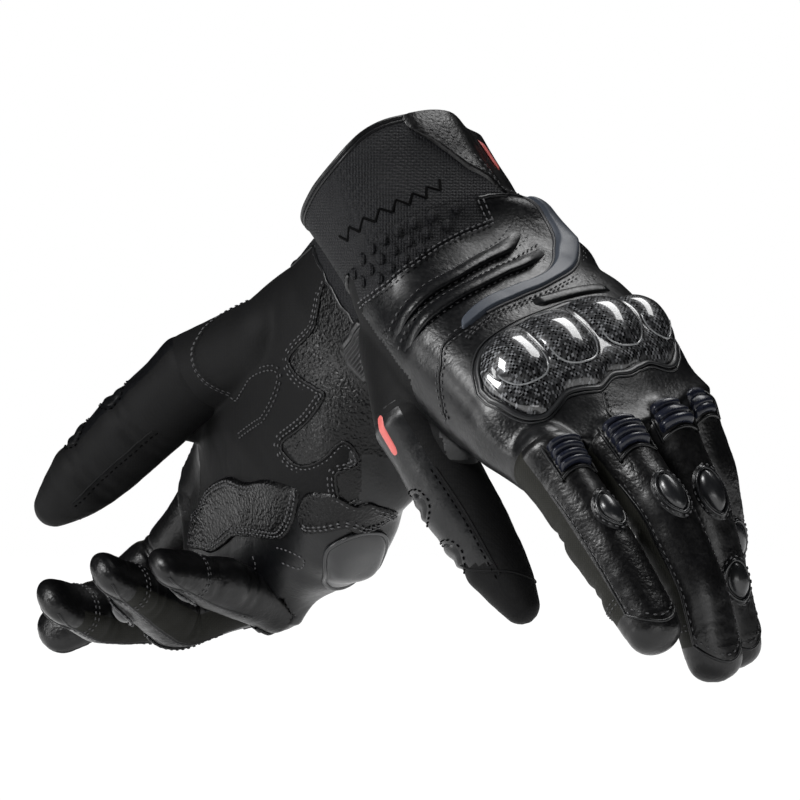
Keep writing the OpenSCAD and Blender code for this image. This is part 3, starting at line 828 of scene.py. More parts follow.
def spline(points, count, closed=False):
    """Points along a smooth curve through the given ones."""
    n = len(points)
    spans = n if closed else n - 1
    found = []
    for i in range(count if closed else count + 1):
        at = i * spans / count
        k = min(int(at), spans - 1)
        t = at - k
        pick = (lambda j: points[j % n]) if closed else (lambda j: points[min(max(j, 0), n - 1)])
        a, b, c, d = (Vector(pick(k + j)) for j in (-1, 0, 1, 2))
        found.append(0.5 * (2 * b + (c - a) * t + (2 * a - 5 * b + 4 * c - d) * t ** 2
                            + (3 * b - a - 3 * c + d) * t ** 3))
    return found


def course(glove, part, points, h=0.0, pace=0.7, closed=False):
    """A line over a part at even steps: places and ways out in the glove's frame."""
    line = [glove.seat(part, p[0], p[1], h) for p in spline(points, 14 * len(points), closed)]
    if closed:
        line.append(line[0])
    return evenly(line, pace)


def evenly(line, pace):
    """The same line with its places at even steps."""
    lengths = [0.0]
    for (a, _), (b, _) in zip(line, line[1:]):
        lengths.append(lengths[-1] + (b - a).length)
    count = max(2, round(lengths[-1] / pace))
    found, k = [], 0
    for i in range(count + 1):
        at = lengths[-1] * i / count
        while k < len(lengths) - 2 and lengths[k + 1] < at:
            k += 1
        t = (at - lengths[k]) / max(1e-6, lengths[k + 1] - lengths[k])
        found.append((line[k][0].lerp(line[k + 1][0], t), line[k][1].lerp(line[k + 1][1], t).normalized()))
    return found


def along_line(line, closed=False):
    """For each place on a line: place, way out, way along, way across."""
    last = len(line) - 1
    for i, (p, out) in enumerate(line):
        before = line[i - 1] if i else line[last - 1] if closed else line[0]
        after = line[i + 1] if i < last else line[1] if closed else line[last]
        way = (after[0] - before[0]).normalized()
        yield p, out, way, way.cross(out).normalized()


def sweep(bm, glove, line, section, closed=False):
    """A strip with a closed section, a list of (across, up) for a share of the way along."""
    frames = list(along_line(line, closed))
    sides = len(section(0.5))
    rows = len(frames) - 1

    def spot(a, b):
        p, out, _, across = frames[round(a * rows)]
        x, y = section(a)[round(b * sides) % sides]
        return placed(glove, (p + across * x + out * y, across * x + out * (y - 0.1)))

    return sheet(bm, spot, rows, sides, weld=True)


def round_section(radius, sides=8):
    ring = [(radius * math.cos(2 * math.pi * k / sides), radius * math.sin(2 * math.pi * k / sides))
            for k in range(sides)]
    return lambda a: ring


def pillow_section(width, height, taper=0.12, sides=14, skew=0.0):
    """A padded strip: an arch that sinks into the hide, thinner at its ends, leaning to one side."""
    def section(a):
        end = smooth(min(a, 1 - a) / taper)
        w, h = width / 2 * mix(0.55, 1, end), height * mix(0.1, 1, end)
        ring = []
        for k in range(sides):
            turn = math.pi * k / (sides - 1)
            rise = max(0.0, math.sin(turn))
            ring.append((w * (math.cos(turn) + skew * rise), h * rise ** 0.8 - 0.4))
        return ring
    return section


def tube(bm, glove, line, radius, closed=False, sides=8):
    return sweep(bm, glove, line, round_section(radius, sides), closed)


STITCH_RADIUS = 0.30


def stitch(bm, glove, line, length=1.7, gap=0.9, side=0.0, raise_by=0.1):
    """A row of single stitches along a line."""
    run = evenly(line, length + gap)
    row = bmesh.new()
    for p, out, way, across in along_line(run):
        middle = p + across * side + out * raise_by
        size = Matrix((way * (length / 2), across * STITCH_RADIUS, out * STITCH_RADIUS)).transposed()
        place = glove.matrix @ Matrix.Translation(middle) @ size.to_4x4()
        bmesh.ops.create_uvsphere(row, u_segments=6, v_segments=4, radius=1, matrix=place)
    add_batch(bm, row)


def add_batch(bm, batch):
    """Adds small shapes to a mesh, with their faces turned outward."""
    bmesh.ops.recalc_face_normals(batch, faces=batch.faces)
    mesh = bpy.data.meshes.new("batch")
    batch.to_mesh(mesh)
    batch.free()
    bm.from_mesh(mesh)
    bpy.data.meshes.remove(mesh)


def patch(bm, glove, part, outline, profile, rings=10, count=72):
    """A crowned piece inside a closed outline on a part; profile gives its height from rim 0 to middle 1."""
    rim = spline(outline, count, closed=True)
    middle = sum(rim, Vector((0, 0))) / len(rim)

    def spot(a, b):
        k = 1 - a ** 1.5
        p = middle + (rim[round(b * count) % count] - middle) * k
        return placed(glove, glove.seat(part, p.x, p.y, profile(1 - k)))

    return sheet(bm, spot, rings, count, weld=True)


def low_crown(height, edge=0.06):
    """A flat sewn-on piece with a rounded edge."""
    return lambda k: mix(-0.5, height, smooth(k / edge) ** 0.6)


def dome(height):
    return lambda k: mix(-0.6, height, math.sqrt(max(0, 1 - (1 - k) ** 2.2)))


def field(bm, glove, part, corner, rows, columns, seat=Glove.seat):
    """A piece on a part from corner(a, b), which gives the place on the part and the height."""
    def spot(a, b):
        along, turn, h = corner(a, b)
        return placed(glove, seat(glove, part, along, turn, h))

    return sheet(bm, spot, rows, columns)


GUARD_HALF = 37.5
GUARD_EDGES = ((-37.5, 77, 77), (-36.5, 71, 81), (-34, 66.7, 83.5), (-29, 63.5, 87.3), (-25, 62.7, 88.6),
               (-21.7, 62, 88.3), (-17.5, 61, 88.1), (-13, 60, 89.8), (-7, 59.2, 91.8), (-0.8, 60.3, 91),
               (2.5, 60.7, 92.8), (5.8, 61, 95), (11.8, 61.9, 93.4), (17.1, 62.8, 92.6), (22.6, 64, 95),
               (28.2, 65.7, 96.6), (31.5, 68, 95.4), (34.5, 71.3, 92), (36.5, 75, 87), (37.5, 80, 80))
# Lobes over the knuckles: middle, half width, front
LOBES = ((24.5, 8.8, 90), (7, 8.6, 89.5), (-11.5, 8.6, 87), (-27, 7.2, 84))
GUARD_END = 15
GUARD_RISE = 3.4
GUARD_BUMP = 3.6
GUARD_SHELF = 1.6


def lobe_at(x):
    """Where x lies across the nearest lobe, from -1 to 1, and that lobe's front."""
    middle, half, front = min(LOBES, key=lambda lobe: abs(x - lobe[0]) / lobe[1])
    return max(-1.0, min(1.0, (x - middle) / half)), front


def guard_end(x):
    """How tall the guard is at x against its middle: round at both ends."""
    over = max(0.0, (abs(x) - GUARD_HALF + GUARD_END) / GUARD_END)
    return math.sqrt(max(0.0, 1 - over ** 2))


def guard_edges(x, grow=0.0):
    near = [max(-GUARD_HALF, min(GUARD_HALF, x + d)) for d in (-1.6, -0.8, 0, 0.8, 1.6)]
    top, low = (sum(table(n, GUARD_EDGES, column) for n in near) / len(near) for column in (1, 2))
    return top - grow, low + grow


def guard_height(x, y):
    top, low = guard_edges(x)
    across, front = lobe_at(x)
    rim = smooth((y - top) / 2.5) * smooth((low - y) / 2.0) * smooth((GUARD_HALF - abs(x)) / 3)
    crown = math.sin(math.pi * min(1.0, max(0.0, (y - top) / max(1.0, low - top)))) ** 0.8
    step = smooth((front - 9 + 9 * math.sqrt(1 - across ** 2) - y) / 4.5)
    bump = max(0.0, 1 - 0.9 * across ** 2) ** 0.8 * max(0.0, 1 - ((y - front + 14) / 17) ** 2)
    return mix(-0.6, GUARD_SHELF, rim ** 0.5) + (GUARD_RISE * crown + GUARD_BUMP * bump * step) * guard_end(x)


def guard_outline(grow, count=200):
    """The guard's rim as a closed line of (x, y), grown outward."""
    wide = GUARD_HALF + grow
    xs = [wide * math.sin(math.pi * (k / (count // 2) - 0.5)) for k in range(count // 2 + 1)]
    shrink = GUARD_HALF / wide
    upper = [(x, guard_edges(x * shrink, grow * guard_end(x * shrink))[0]) for x in xs]
    lower = [(x, guard_edges(x * shrink, grow * guard_end(x * shrink))[1]) for x in reversed(xs)]
    return upper + lower[1:-1]


def out_of_back(glove, x, y):
    """A place on the plain back of the hand, from its own x and y, and the way out of it."""
    low = glove.back(x, y)
    return low, (glove.back(x, y, PROBE) - low).normalized()


def on_back(glove, x, y, h=0.0):
    """A place over the hide on the back of the hand, from its own x and y."""
    low, out = out_of_back(glove, x, y)
    hit = glove.trees["hand"].ray_cast(low + out * BACK_RAY[0], -out, BACK_RAY[1])[0]
    return (hit or low) + out * h, out


def guard(glove, made):
    """The carbon shell over the knuckles, its frame, and light grey glossy tubes along its lobes, which are
    painted highlights.
    """
    def shell(a, b):
        x = GUARD_HALF * math.sin(math.pi * (b - 0.5))
        top, low = guard_edges(x)
        y = mix(top, low, a)
        p, out = out_of_back(glove, x, y)
        return placed(glove, (p + out * guard_height(x, y), out))

    bm = bmesh.new()
    sheet(bm, shell, 56, 150)
    obj = show(bm, glove.body("carbon_guard"), made["carbon"])
    weave_map(glove, obj)
    attach(obj, glove, "hand", "carbon", "knuckle_guard", "knuckle_foam")
    bm = bmesh.new()
    rim = guard_outline(1.0)
    line = evenly([on_back(glove, x, y, 0.5) for x, y in rim + rim[:1]], 0.8)
    sweep(bm, glove, line, pillow_section(2.0, 0.8, taper=0.001), closed=True)
    rim = guard_outline(2.4)
    line = evenly([on_back(glove, x, y, 0.2) for x, y in rim + rim[:1]], 0.8)
    tube(bm, glove, line, 0.35, closed=True)
    piece(glove, bm, "guard_frame", made["bezel"], "hand", "rubber", "guard_bezel")
    # Light grey tubes along the front of each lobe: painted highlights on the lobes' edges.
    bm = bmesh.new()
    for middle, half, front in LOBES:
        spots = []
        for share in steps(-1, 1, 30):
            x = max(2 - GUARD_HALF, min(GUARD_HALF - 2, middle + 0.84 * half * math.sin(share * math.pi / 2)))
            y = front - 1 - 7 * (1 - math.cos(share * math.pi / 2)) ** 1.2
            p, out = out_of_back(glove, x, y)
            spots.append((p + out * (guard_height(x, y) + 0.05), out))
        tube(bm, glove, evenly(spots, 0.6), 0.32)
    piece(glove, bm, "guard_painted_highlights", made["rim"], "hand", "carbon")


PADS = {"index": (2.5, 13, 56, 128, 4), "middle": (-3, 9, 50, 122, 4), "ring": (-6, 4.5, 50, 122, 3),
        "little": (-4, 5, 60, 118, 3)}
SLIDERS = {"index": [(30, 101)], "middle": [(27, 93)], "ring": [(25, 90), (52, 90)], "little": [(42, 90)]}
SLIDER_HALF = (5.8, 4.1)
SLIDER_POINT = 0.75
SEAM_TURNS = (22, 158)
CAP_ARCH = 7.5


def ribbed_pad(glove, f, made):
    """Stretch folds over a knuckle: a row of plump ribs inside a piped rim."""
    start, end, low, high, ribs = PADS[f]
    fine = 9

    def corner(a, b):
        side = smooth(min(b, 1 - b) / 0.16)
        finish = smooth(min(a, 1 - a) / 0.04)
        rib = abs(math.sin(math.pi * ribs * a)) ** 0.55
        bow = 1.6 * (1 - (2 * b - 1) ** 2)
        plump = 0.8 if f == "little" else 1.9
        return mix(start, end, a) - bow, mix(low, high, b), mix(-0.6, 0.3 + plump * rib, side * finish)

    bm = bmesh.new()
    field(bm, glove, f, corner, ribs * fine, 30, Glove.over)
    obj = piece(glove, bm, f"{f}_ribs", made["ribs"], f, "stretch_fabric", f"{f}_folds")
    bm = bmesh.new()
    for turn in (low - 2, high + 2):
        edge = [(start - 1, turn), ((start + end) / 2, turn), (end + 2, turn)]
        tube(bm, glove, course(glove, f, edge, 0.3), 0.6)
    across = [(end + 1.2 - 1.6 * (1 - (2 * b - 1) ** 2), mix(low, high, b)) for b in steps(0, 1, 6)]
    tube(bm, glove, course(glove, f, across, 0.2), 0.55)
    piece(glove, bm, f"{f}_rib_piping", made["leather"], f, "leather")


def slider_outline(s, v, radius, grow):
    """An oval on a finger, in (along, angle)."""
    half_turn = math.degrees((SLIDER_HALF[1] + grow) / radius)
    turns = [2 * math.pi * k / 24 for k in range(24)]
    return [(s + (SLIDER_HALF[0] + grow) * math.cos(a), v + half_turn * power(math.sin(a), 1 / SLIDER_POINT))
            for a in turns]


def finger_armour(glove, f, made):
    """Hard sliders on a finger, each in a padded and stitched seat."""
    hard, soft, thread = bmesh.new(), bmesh.new(), bmesh.new()
    for s, v in SLIDERS[f]:
        radius = stall_radius(FINGER[f][2], FINGER[f][3], FINGER_TAPER, s)
        low = 0.5 if f == "little" else 1.0
        patch(soft, glove, f, slider_outline(s, v, radius, 3.0), low_crown(1.1 * low, 0.5), 10, 48)
        patch(hard, glove, f, slider_outline(s, v, radius, 0), lambda k: 0.5 + dome(2.6 * low)(k), 12, 48)
        ring = course(glove, f, slider_outline(s, v, radius, 0.5), 1.1 * low, closed=True)
        tube(hard, glove, ring, 0.5, closed=True)
        seam = course(glove, f, slider_outline(s, v, radius, 1.7), 1.1 * low, closed=True)
        stitch(thread, glove, seam, 1.4, 0.8)
    piece(glove, hard, f"{f}_sliders", made["plastic"], f"on_{f}", "hard_plastic", f"{f}_slider")
    obj = piece(glove, soft, f"{f}_slider_seat", made["leather"], f"on_{f}", "leather")
    piece(glove, thread, f"{f}_slider_stitches", made["thread"], f"on_{f}", "leather")


def finger_seams(glove, f, made):
    """Seams along both sides of a finger and round its tip, with stitches."""
    length = FINGER[f][2]
    cap = length - CAP_LENGTH
    piping, thread = bmesh.new(), bmesh.new()
    for turn in SEAM_TURNS:
        path = [(16, turn), (length * 0.45, turn + (90 - turn) * 0.06), (cap, turn)]
        if turn > 90:
            path += [(cap + 6, turn + 8), (length - 2.5, turn + 22)]
        tube(piping, glove, course(glove, f, path, -0.15), 0.5)
        toward = 7 if turn < 90 else -7
        stitch(thread, glove, course(glove, f, [(18, turn + toward), (cap, turn + toward)], -0.05), 1.6, 0.9)
    arch = [(cap + CAP_ARCH * math.sin(math.pi * k / 8), mix(*SEAM_TURNS, k / 8)) for k in range(9)]
    tube(piping, glove, course(glove, f, arch, 0.0), 0.5)
    inner = [(cap - 2 + CAP_ARCH * math.sin(math.pi * k / 8), mix(30, 150, k / 8)) for k in range(9)]
    stitch(thread, glove, course(glove, f, inner, 0.05), 1.5, 0.9)
    for back in (5.0, 6.6):
        under = [(cap - back, v) for v in (166, 200, 245, 290, 340, 374)]
        stitch(thread, glove, course(glove, f, under, -0.05), 1.3, 0.7)
    piece(glove, piping, f"{f}_seams", made["leather"], f"on_{f}", "leather")
    piece(glove, thread, f"{f}_stitches", made["thread"], f"on_{f}", "leather")


RIDGES = (((35, 8), (34, 24), (33, 40), (32, 54), (30.5, 74), (25.5, 90), (16.5, 107)),
          ((43, 10), (42, 26), (41, 40), (40, 60), (38, 80), (35, 92), (29.5, 111)))
RIDGE_SIZE = (5.6, 2.5)
RIDGE_SKEW = 0.55


def wrist_ridges(glove, made):
    """Two rolled leather folds over the back of the wrist, with stitching beside them."""
    soft, thread = bmesh.new(), bmesh.new()
    for line in RIDGES:
        roll = pillow_section(*RIDGE_SIZE, taper=0.2, skew=RIDGE_SKEW)
        sweep(soft, glove, course(glove, "hand", line, 0.2), roll)
        for side in (-0.56, 0.56):
            stitch(thread, glove, course(glove, "hand", line, 0.0), 1.6, 1.0, side * RIDGE_SIZE[0])
    obj = piece(glove, soft, "wrist_ridges", made["leather"], "hand", "leather", "wrist_folds")
    piece(glove, thread, "wrist_stitches", made["thread"], "hand", "leather")


BACK_SEAMS = (((54, 58), (55, 36), (60, 24), (63, 14), (68, 2), (73, -4)), ((98, 86), (103, 84), (108, 82)))
BACK_STRIP = ((54, 88), (53.5, 100), (53.5, 112), (54, 124))


def back_seams(glove, made):
    """The seams on the back of the hand, and the padded strip behind the guard."""
    soft, thread = bmesh.new(), bmesh.new()
    sweep(soft, glove, course(glove, "hand", BACK_STRIP, 0.1), pillow_section(4.6, 1.4))
    for line in BACK_SEAMS:
        tube(soft, glove, course(glove, "hand", line, 0.0), 0.45)
        for side in (-1.3, 1.3):
            stitch(thread, glove, course(glove, "hand", line, 0.0), 1.5, 0.8, side)
    piece(glove, soft, "back_seams", made["leather"], "hand", "leather")
    piece(glove, thread, "back_stitches", made["thread"], "hand", "leather")


INSERT_OUTER = ((56, 50), (52, 70), (50, 86), (47, 98), (42, 114), (31, 133), (14, 141), (0, 138))
INSERT_INNER = ((50, 56), (46, 76), (44.5, 88), (41, 100), (32, 114), (22, 124), (10, 129), (1, 129))


def wrist_insert(glove, made):
    """The smooth rubber hook that runs across the back and down the little finger's side."""
    rows = 90
    outer, inner = spline(INSERT_OUTER, rows), spline(INSERT_INNER, rows)

    def corner(a, b):
        k = round(a * rows)
        wide = math.sqrt(max(0.02, 1 - max(0.0, 1 - a / 0.09) ** 2))
        p = outer[k].lerp(inner[k], 0.5 + (b - 0.5) * wide)
        rim = smooth(min(b, 1 - b) / 0.16) * smooth(min(a, 1 - a) / 0.03)
        return p.x, p.y, mix(-0.5, 1.5, rim ** 0.6)

    bm = bmesh.new()
    field(bm, glove, "hand", corner, rows, 16)
    piece(glove, bm, "rubber_insert", made["rubber"], "hand", "rubber", "wrist_insert")
    bm = bmesh.new()
    for edge in (INSERT_OUTER, INSERT_INNER):
        tube(bm, glove, course(glove, "hand", edge[1:], 0.1), 0.5)
    for side in (1.9, 3.0):
        stitch(bm, glove, course(glove, "hand", INSERT_OUTER, 0.0), 1.5, 0.8, side)
    piece(glove, bm, "insert_seam", made["thread"], "hand", "leather")


MESH_TOP = ((-6, 9), (8, 14), (30, 17.5), (58, 16.5), (80, 13), (97, 10))
MESH_ENDS = (-4, 96)
MESH_BASE = -1.5
BUMP_PITCH = (5.6, 12.5)
BUMP_SIZE = (2.1, 1.6, 1.2)


def mesh_panel(glove, made):
    """A knitted panel with rows of raised ovals, double-stitched at its edge."""
    def corner(a, b):
        v = mix(*MESH_ENDS, b)
        rim = smooth((1 - a) / 0.06) * smooth(min(b, 1 - b) / 0.03)
        return mix(MESH_BASE, table(v, MESH_TOP), a), v, mix(-0.5, 0.7, rim)

    bm = bmesh.new()
    field(bm, glove, "hand", corner, 24, 70)
    bumps = bmesh.new()
    row = 0
    u = 1.5
    while u < 16:
        v = MESH_ENDS[0] + 4 + (row % 2) * BUMP_PITCH[1] / 2
        while v < MESH_ENDS[1] - 3:
            if u < table(v, MESH_TOP) - 2.5:
                p, out = glove.seat("hand", u, v, 0.95)
                way = (glove.seat("hand", u + 1, v, 0.95)[0] - p).normalized()
                across = way.cross(out).normalized()
                size = Matrix((way * BUMP_SIZE[0], across * BUMP_SIZE[1], out * BUMP_SIZE[2])).transposed()
                bmesh.ops.create_uvsphere(bumps, u_segments=12, v_segments=8, radius=1,
                                          matrix=glove.matrix @ Matrix.Translation(p) @ size.to_4x4())
            v += BUMP_PITCH[1]
        u += BUMP_PITCH[0]
        row += 1
    add_batch(bm, bumps)
    piece(glove, bm, "mesh_cloth", made["fabric"], "hand", "stretch_fabric", "mesh_panel")
    bm = bmesh.new()
    for inset in (-0.8, 0.9):
        edge = [(table(v, MESH_TOP) + inset, v) for v in steps(MESH_ENDS[0] + 2, MESH_ENDS[1], 14)]
        stitch(bm, glove, course(glove, "hand", edge, 0.8), 1.7, 0.7)
        side = [(u, MESH_ENDS[1] + inset * 1.5) for u in (9, 5, 1)]
        stitch(bm, glove, course(glove, "hand", side, 0.7), 1.7, 0.7)
    piece(glove, bm, "mesh_stitches", made["light_thread"], "hand", "leather")


TAB_EDGE = ((86, -34), (92, -22), (100, -11), (112, -4), (126, -2), (190, -2))
TAB_ENDS = (86.5, 188)
TAB_STITCH = ((-28, 97), (-19, 103), (-11, 113), (-5, 124))
ZIGZAG = ((-10, 2), (-8, 24), (-7, 44), (-7, 60), (-7, 76), (-9, 88))
ZIGZAG_STEP = 3.0
ZIGZAG_HALF = 1.7


def wrist_edge(glove, v):
    """The station where the hand's hide ends at an angle."""
    for u in steps(-20, 8, 112):
        low = glove.hand(u, v)
        out = (glove.hand(u, v, PROBE) - low).normalized()
        if glove.trees["hand"].ray_cast(low + out * EDGE_RAY[0], -out, EDGE_RAY[1])[0]:
            return u
    return 0.0


def cuff_trim(glove, made):
    """The bound rim, the leather tab at the little finger's side, and the zigzag seam."""
    rim, zigzag = bmesh.new(), bmesh.new()
    for inset, radius, h in ((0.3, 0.75, -0.2), (1.9, 0.35, 0.1)):
        line = [glove.seat("cuff", rim_at(v) + inset, v, h) for v in steps(0, 360, 120)]
        tube(rim, glove, evenly(line, 1.0), radius, closed=True, sides=10)
    line = [glove.seat("hand", wrist_edge(glove, v) + 0.3, v, 0.1) for v in steps(MESH_ENDS[1], 354, 90)]
    tube(rim, glove, evenly(line, 1.0), 0.7)
    piece(glove, rim, "cuff_piping", made["leather"], "hand", "leather", "cuff_binding")

    def corner(a, b):
        v = mix(*TAB_ENDS, b)
        u = mix(rim_at(v) + 0.2, table(v, TAB_EDGE), a)
        edge = smooth((1 - a) / 0.06) * smooth(min(b, 1 - b) / 0.03)
        return u, v, mix(-0.6, 1.3, edge ** 0.6)

    bm = bmesh.new()
    field(bm, glove, "cuff", corner, 30, 70)
    piece(glove, bm, "cuff_tab", made["grained"], "hand", "grained_leather", "strap_anchor")
    thread = bmesh.new()
    border = [(table(v, TAB_EDGE) - 1.8, v + 2.2) for v in steps(90, 186, 20)]
    stitch(thread, glove, course(glove, "cuff", border, 1.25), 1.5, 0.8)
    stitch(thread, glove, course(glove, "cuff", TAB_STITCH, 1.25), 1.5, 0.8)
    piece(glove, thread, "tab_stitches", made["thread"], "hand", "leather")
    line = course(glove, "cuff", ZIGZAG, -0.25, pace=ZIGZAG_STEP)
    turns = []
    for i, (p, out, _, across) in enumerate(along_line(line)):
        turns.append((p + across * (ZIGZAG_HALF if i % 2 else -ZIGZAG_HALF), out))
    for a, b in zip(turns, turns[1:]):
        tube(zigzag, glove, evenly([a, b], 0.9), 0.6, sides=6)
    piece(glove, zigzag, "zigzag_seam", made["dark_thread"], "hand", "stretch_fabric")


ACCENT = ((-25.5, 134), (-22, 137), (-18, 139), (-13, 141))
THUMB_ACCENT = ((-5, 2), (0, 2), (6, 0), (11, -4))


def accent(glove, made):
    """The coloured tapes at the little finger's side of the cuff and at the root of the thumb."""
    bm = bmesh.new()
    if glove.side == "left":
        line = [glove.over("thumb", p[0], p[1], 0.1) for p in spline(THUMB_ACCENT, 24)]
        sweep(bm, glove, evenly(line, 0.7), pillow_section(3.2, 0.7, 0.2))
        piece(glove, bm, "thumb_tape", made["accent"], "thumb", "leather")
        bm = bmesh.new()
    sweep(bm, glove, course(glove, "cuff", ACCENT, 1.35), pillow_section(4.2, 0.7, 0.2))
    piece(glove, bm, "accent_tape", made["accent"], "hand", "leather")


PALM_LEATHER = ((-12, 284), (-9, 282), (1, 274), (11, 272), (9, 258), (8, 250), (15, 250), (28, 258),
                (28, 246), (20, 232), (14, 224), (13, 214), (16, 204), (19, 212), (22, 220),
                (29, 208), (26, 196))
SOFT_EDGE = ((-18, 214), (29, 214), (36, 234), (43, 246), (54, 253), (66, 261), (80, 270), (100, 278))
OVERLAY_ENDS = ((30, 160), (-18, 160), (-18, 286))
PALM_PATCHES = (
    ((79, 280), (66, 274), (54, 266), (43, 258), (35, 242), (42, 238), (56, 240), (68, 248), (80, 262),
     (90, 266), (99, 270), (106, 278), (103, 283), (98, 286), (90, 282)),
    ((43, 238), (36, 238), (31, 232), (27, 214), (28, 196), (26, 184), (32, 168), (36, 174), (39, 184),
     (37, 200), (43, 220), (47, 232)),
)
PALM_LOOPS = (((91, 256), (93, 248), (88, 242), (83, 248)),
              ((67, 240), (63, 234), (61, 224), (70, 219), (74, 230)))
THENAR_SEAM = ((17, 328), (26, 310), (28, 304), (32, 296), (37, 284), (30, 281), (24, 280), (18, 276),
               (16, 272), (20, 270), (30, 270), (43, 274))
SLIDER_RIM = ((47, 209), (41, 198), (38.5, 184), (42, 172), (50, 166), (62, 165), (74, 169), (80, 180),
              (74, 193), (64, 202), (55, 208))


def palm_trim(glove, made):
    """Leather patches, the hard slider and the seams of the palm."""
    leather_bm, thread = bmesh.new(), bmesh.new()
    for outline in PALM_PATCHES:
        patch(leather_bm, glove, "hand", outline, low_crown(1.1), 14, 90)
        for inset in (-1.6, -3.0):
            stitch(thread, glove, course(glove, "hand", outline, 1.05, closed=True), 1.4, 0.7, inset)
    # The patches take the palm leather, whose darker colour is painted shade.
    piece(glove, leather_bm, "palm_patches", made["palm"], "hand", "grained_leather", "palm_patch")
    for loop in PALM_LOOPS:
        stitch(thread, glove, course(glove, "hand", loop, 0.1), 1.4, 0.7)
    # The overlay's edge, also in the palm leather darkened as painted shade.
    edge = bmesh.new()
    tube(edge, glove, course(glove, "hand", PALM_LEATHER, 0.1), 0.5)
    piece(glove, edge, "palm_edge", made["palm"], "hand", "grained_leather")
    dark = bmesh.new()
    for side in (-1.2, -2.6):
        stitch(thread, glove, course(glove, "hand", PALM_LEATHER, 0.2), 1.3, 0.6, side)
    for side in (0.0, 1.6):
        stitch(dark, glove, course(glove, "hand", THENAR_SEAM, 0.1), 1.3, 0.6, side)
    piece(glove, thread, "palm_stitches", made["light_thread"], "hand", "leather")
    piece(glove, dark, "thenar_stitches", made["thread"], "hand", "leather")
    hard = bmesh.new()
    patch(hard, glove, "hand", SLIDER_RIM, lambda k: 0.6 + dome(2.6)(k), 16, 72)
    ring = course(glove, "hand", SLIDER_RIM, 0.6, closed=True)
    tube(hard, glove, ring, 0.9, closed=True)
    piece(glove, hard, "palm_guard", made["plastic"], "hand", "hard_plastic", "palm_slider")


def shrunk(outline, share):
    middle = sum((Vector(p) for p in outline), Vector((0, 0))) / len(outline)
    return [tuple(middle + (Vector(p) - middle) * share) for p in outline]


STRAP_SPAN = (191, 236)
PULL_SPAN = (234, 262)
STRAP_U = (-21.5, -3)
PULL_RIBS = 9


def strap(glove, made):
    """The wrist strap and its ribbed rubber pull."""
    def band(a, b):
        edge = smooth(min(a, 1 - a) / 0.07)
        return mix(*STRAP_U, a), mix(*STRAP_SPAN, b), 1.1 + 1.6 * edge ** 0.6

    bm = bmesh.new()
    field(bm, glove, "cuff", band, 20, 36)
    obj = show(bm, glove.body("strap_leather"), made["grained"])
    settled(obj, ("SOLIDIFY", {"thickness": 1.2 * MM, "offset": -1.0}))
    attach(obj, glove, "strap", "grained_leather", "wrist_strap")

    def tab(a, b):
        across = 2 * a - 1
        tip = 1 - 0.35 * smooth((b - 0.6) / 0.4)
        u = mix(*STRAP_U, 0.5 + across * 0.5 * tip)
        edge = smooth(min(a, 1 - a) / 0.08) * smooth(min(b, 1 - b) / 0.08)
        rib = 0.0
        if 0.12 < a < 0.88 and 0.15 < b < 0.85:
            rib = 0.9 * abs(math.sin(math.pi * PULL_RIBS * (b - 0.15) / 0.7)) ** 0.7
        return u, mix(*PULL_SPAN, b), 2.6 + 1.7 * edge ** 0.6 + rib

    bm = bmesh.new()
    field(bm, glove, "cuff", tab, 30, 90)
    obj = show(bm, glove.body("strap_tab"), made["rubber_dark"])
    settled(obj, ("SOLIDIFY", {"thickness": 1.2 * MM, "offset": -1.0}))
    attach(obj, glove, "strap", "rubber", "strap_pull")
    thread = bmesh.new()
    for u in (STRAP_U[0] + 1.8, STRAP_U[1] - 1.8):
        line = course(glove, "cuff", [(u, v) for v in steps(STRAP_SPAN[0] + 2, STRAP_SPAN[1], 5)], 2.7)
        stitch(thread, glove, line, 1.5, 0.8)
    piece(glove, thread, "strap_stitches", made["thread"], "strap", "grained_leather")


THUMB_PADS = ((27, -30), (46, -30))
THUMB_PAD_HALF = (5.6, 36)


def thumb_trim(glove, made):
    """Two padded leather segments and the seams of the thumb."""
    soft, thread = bmesh.new(), bmesh.new()
    for s, v in THUMB_PADS:
        turns = [math.pi * k / 8 for k in range(16)]
        outline = [(s + THUMB_PAD_HALF[0] * math.cos(a), v + THUMB_PAD_HALF[1] * math.sin(a)) for a in turns]
        patch(soft, glove, "thumb", outline, low_crown(0.7, 0.45), 12, 56)
        stitch(thread, glove, course(glove, "thumb", shrunk(outline, 1.08), 0.1, closed=True), 1.4, 0.8)
    obj = piece(glove, soft, "thumb_pad_leather", made["leather"], "on_thumb", "leather", "thumb_pads")
    seams = bmesh.new()
    for turn in (-140, 47):
        line = course(glove, "thumb", [(21, turn), (40, turn + 4), (60, turn)], -0.1)
        tube(seams, glove, line, 0.45)
        stitch(thread, glove, line, 1.5, 0.8, 1.6)
    cap = [(42, -60), (50, -20), (56, 20), (60, 60), (64, 100), (66, 140)]
    tube(seams, glove, course(glove, "thumb", cap, 0.0), 0.45)
    piece(glove, seams, "thumb_seams", made["suede"], "on_thumb", "leather")
    piece(glove, thread, "thumb_stitches", made["dark_thread"], "on_thumb", "leather")


def inside(point, outline):
    """Is a point inside a closed outline?"""
    x, y = point
    found = False
    for (x0, y0), (x1, y1) in zip(outline, outline[1:] + outline[:1]):
        if (y0 > y) != (y1 > y) and x < mix(x0, x1, (y - y0) / (y1 - y0)):
            found = not found
    return found


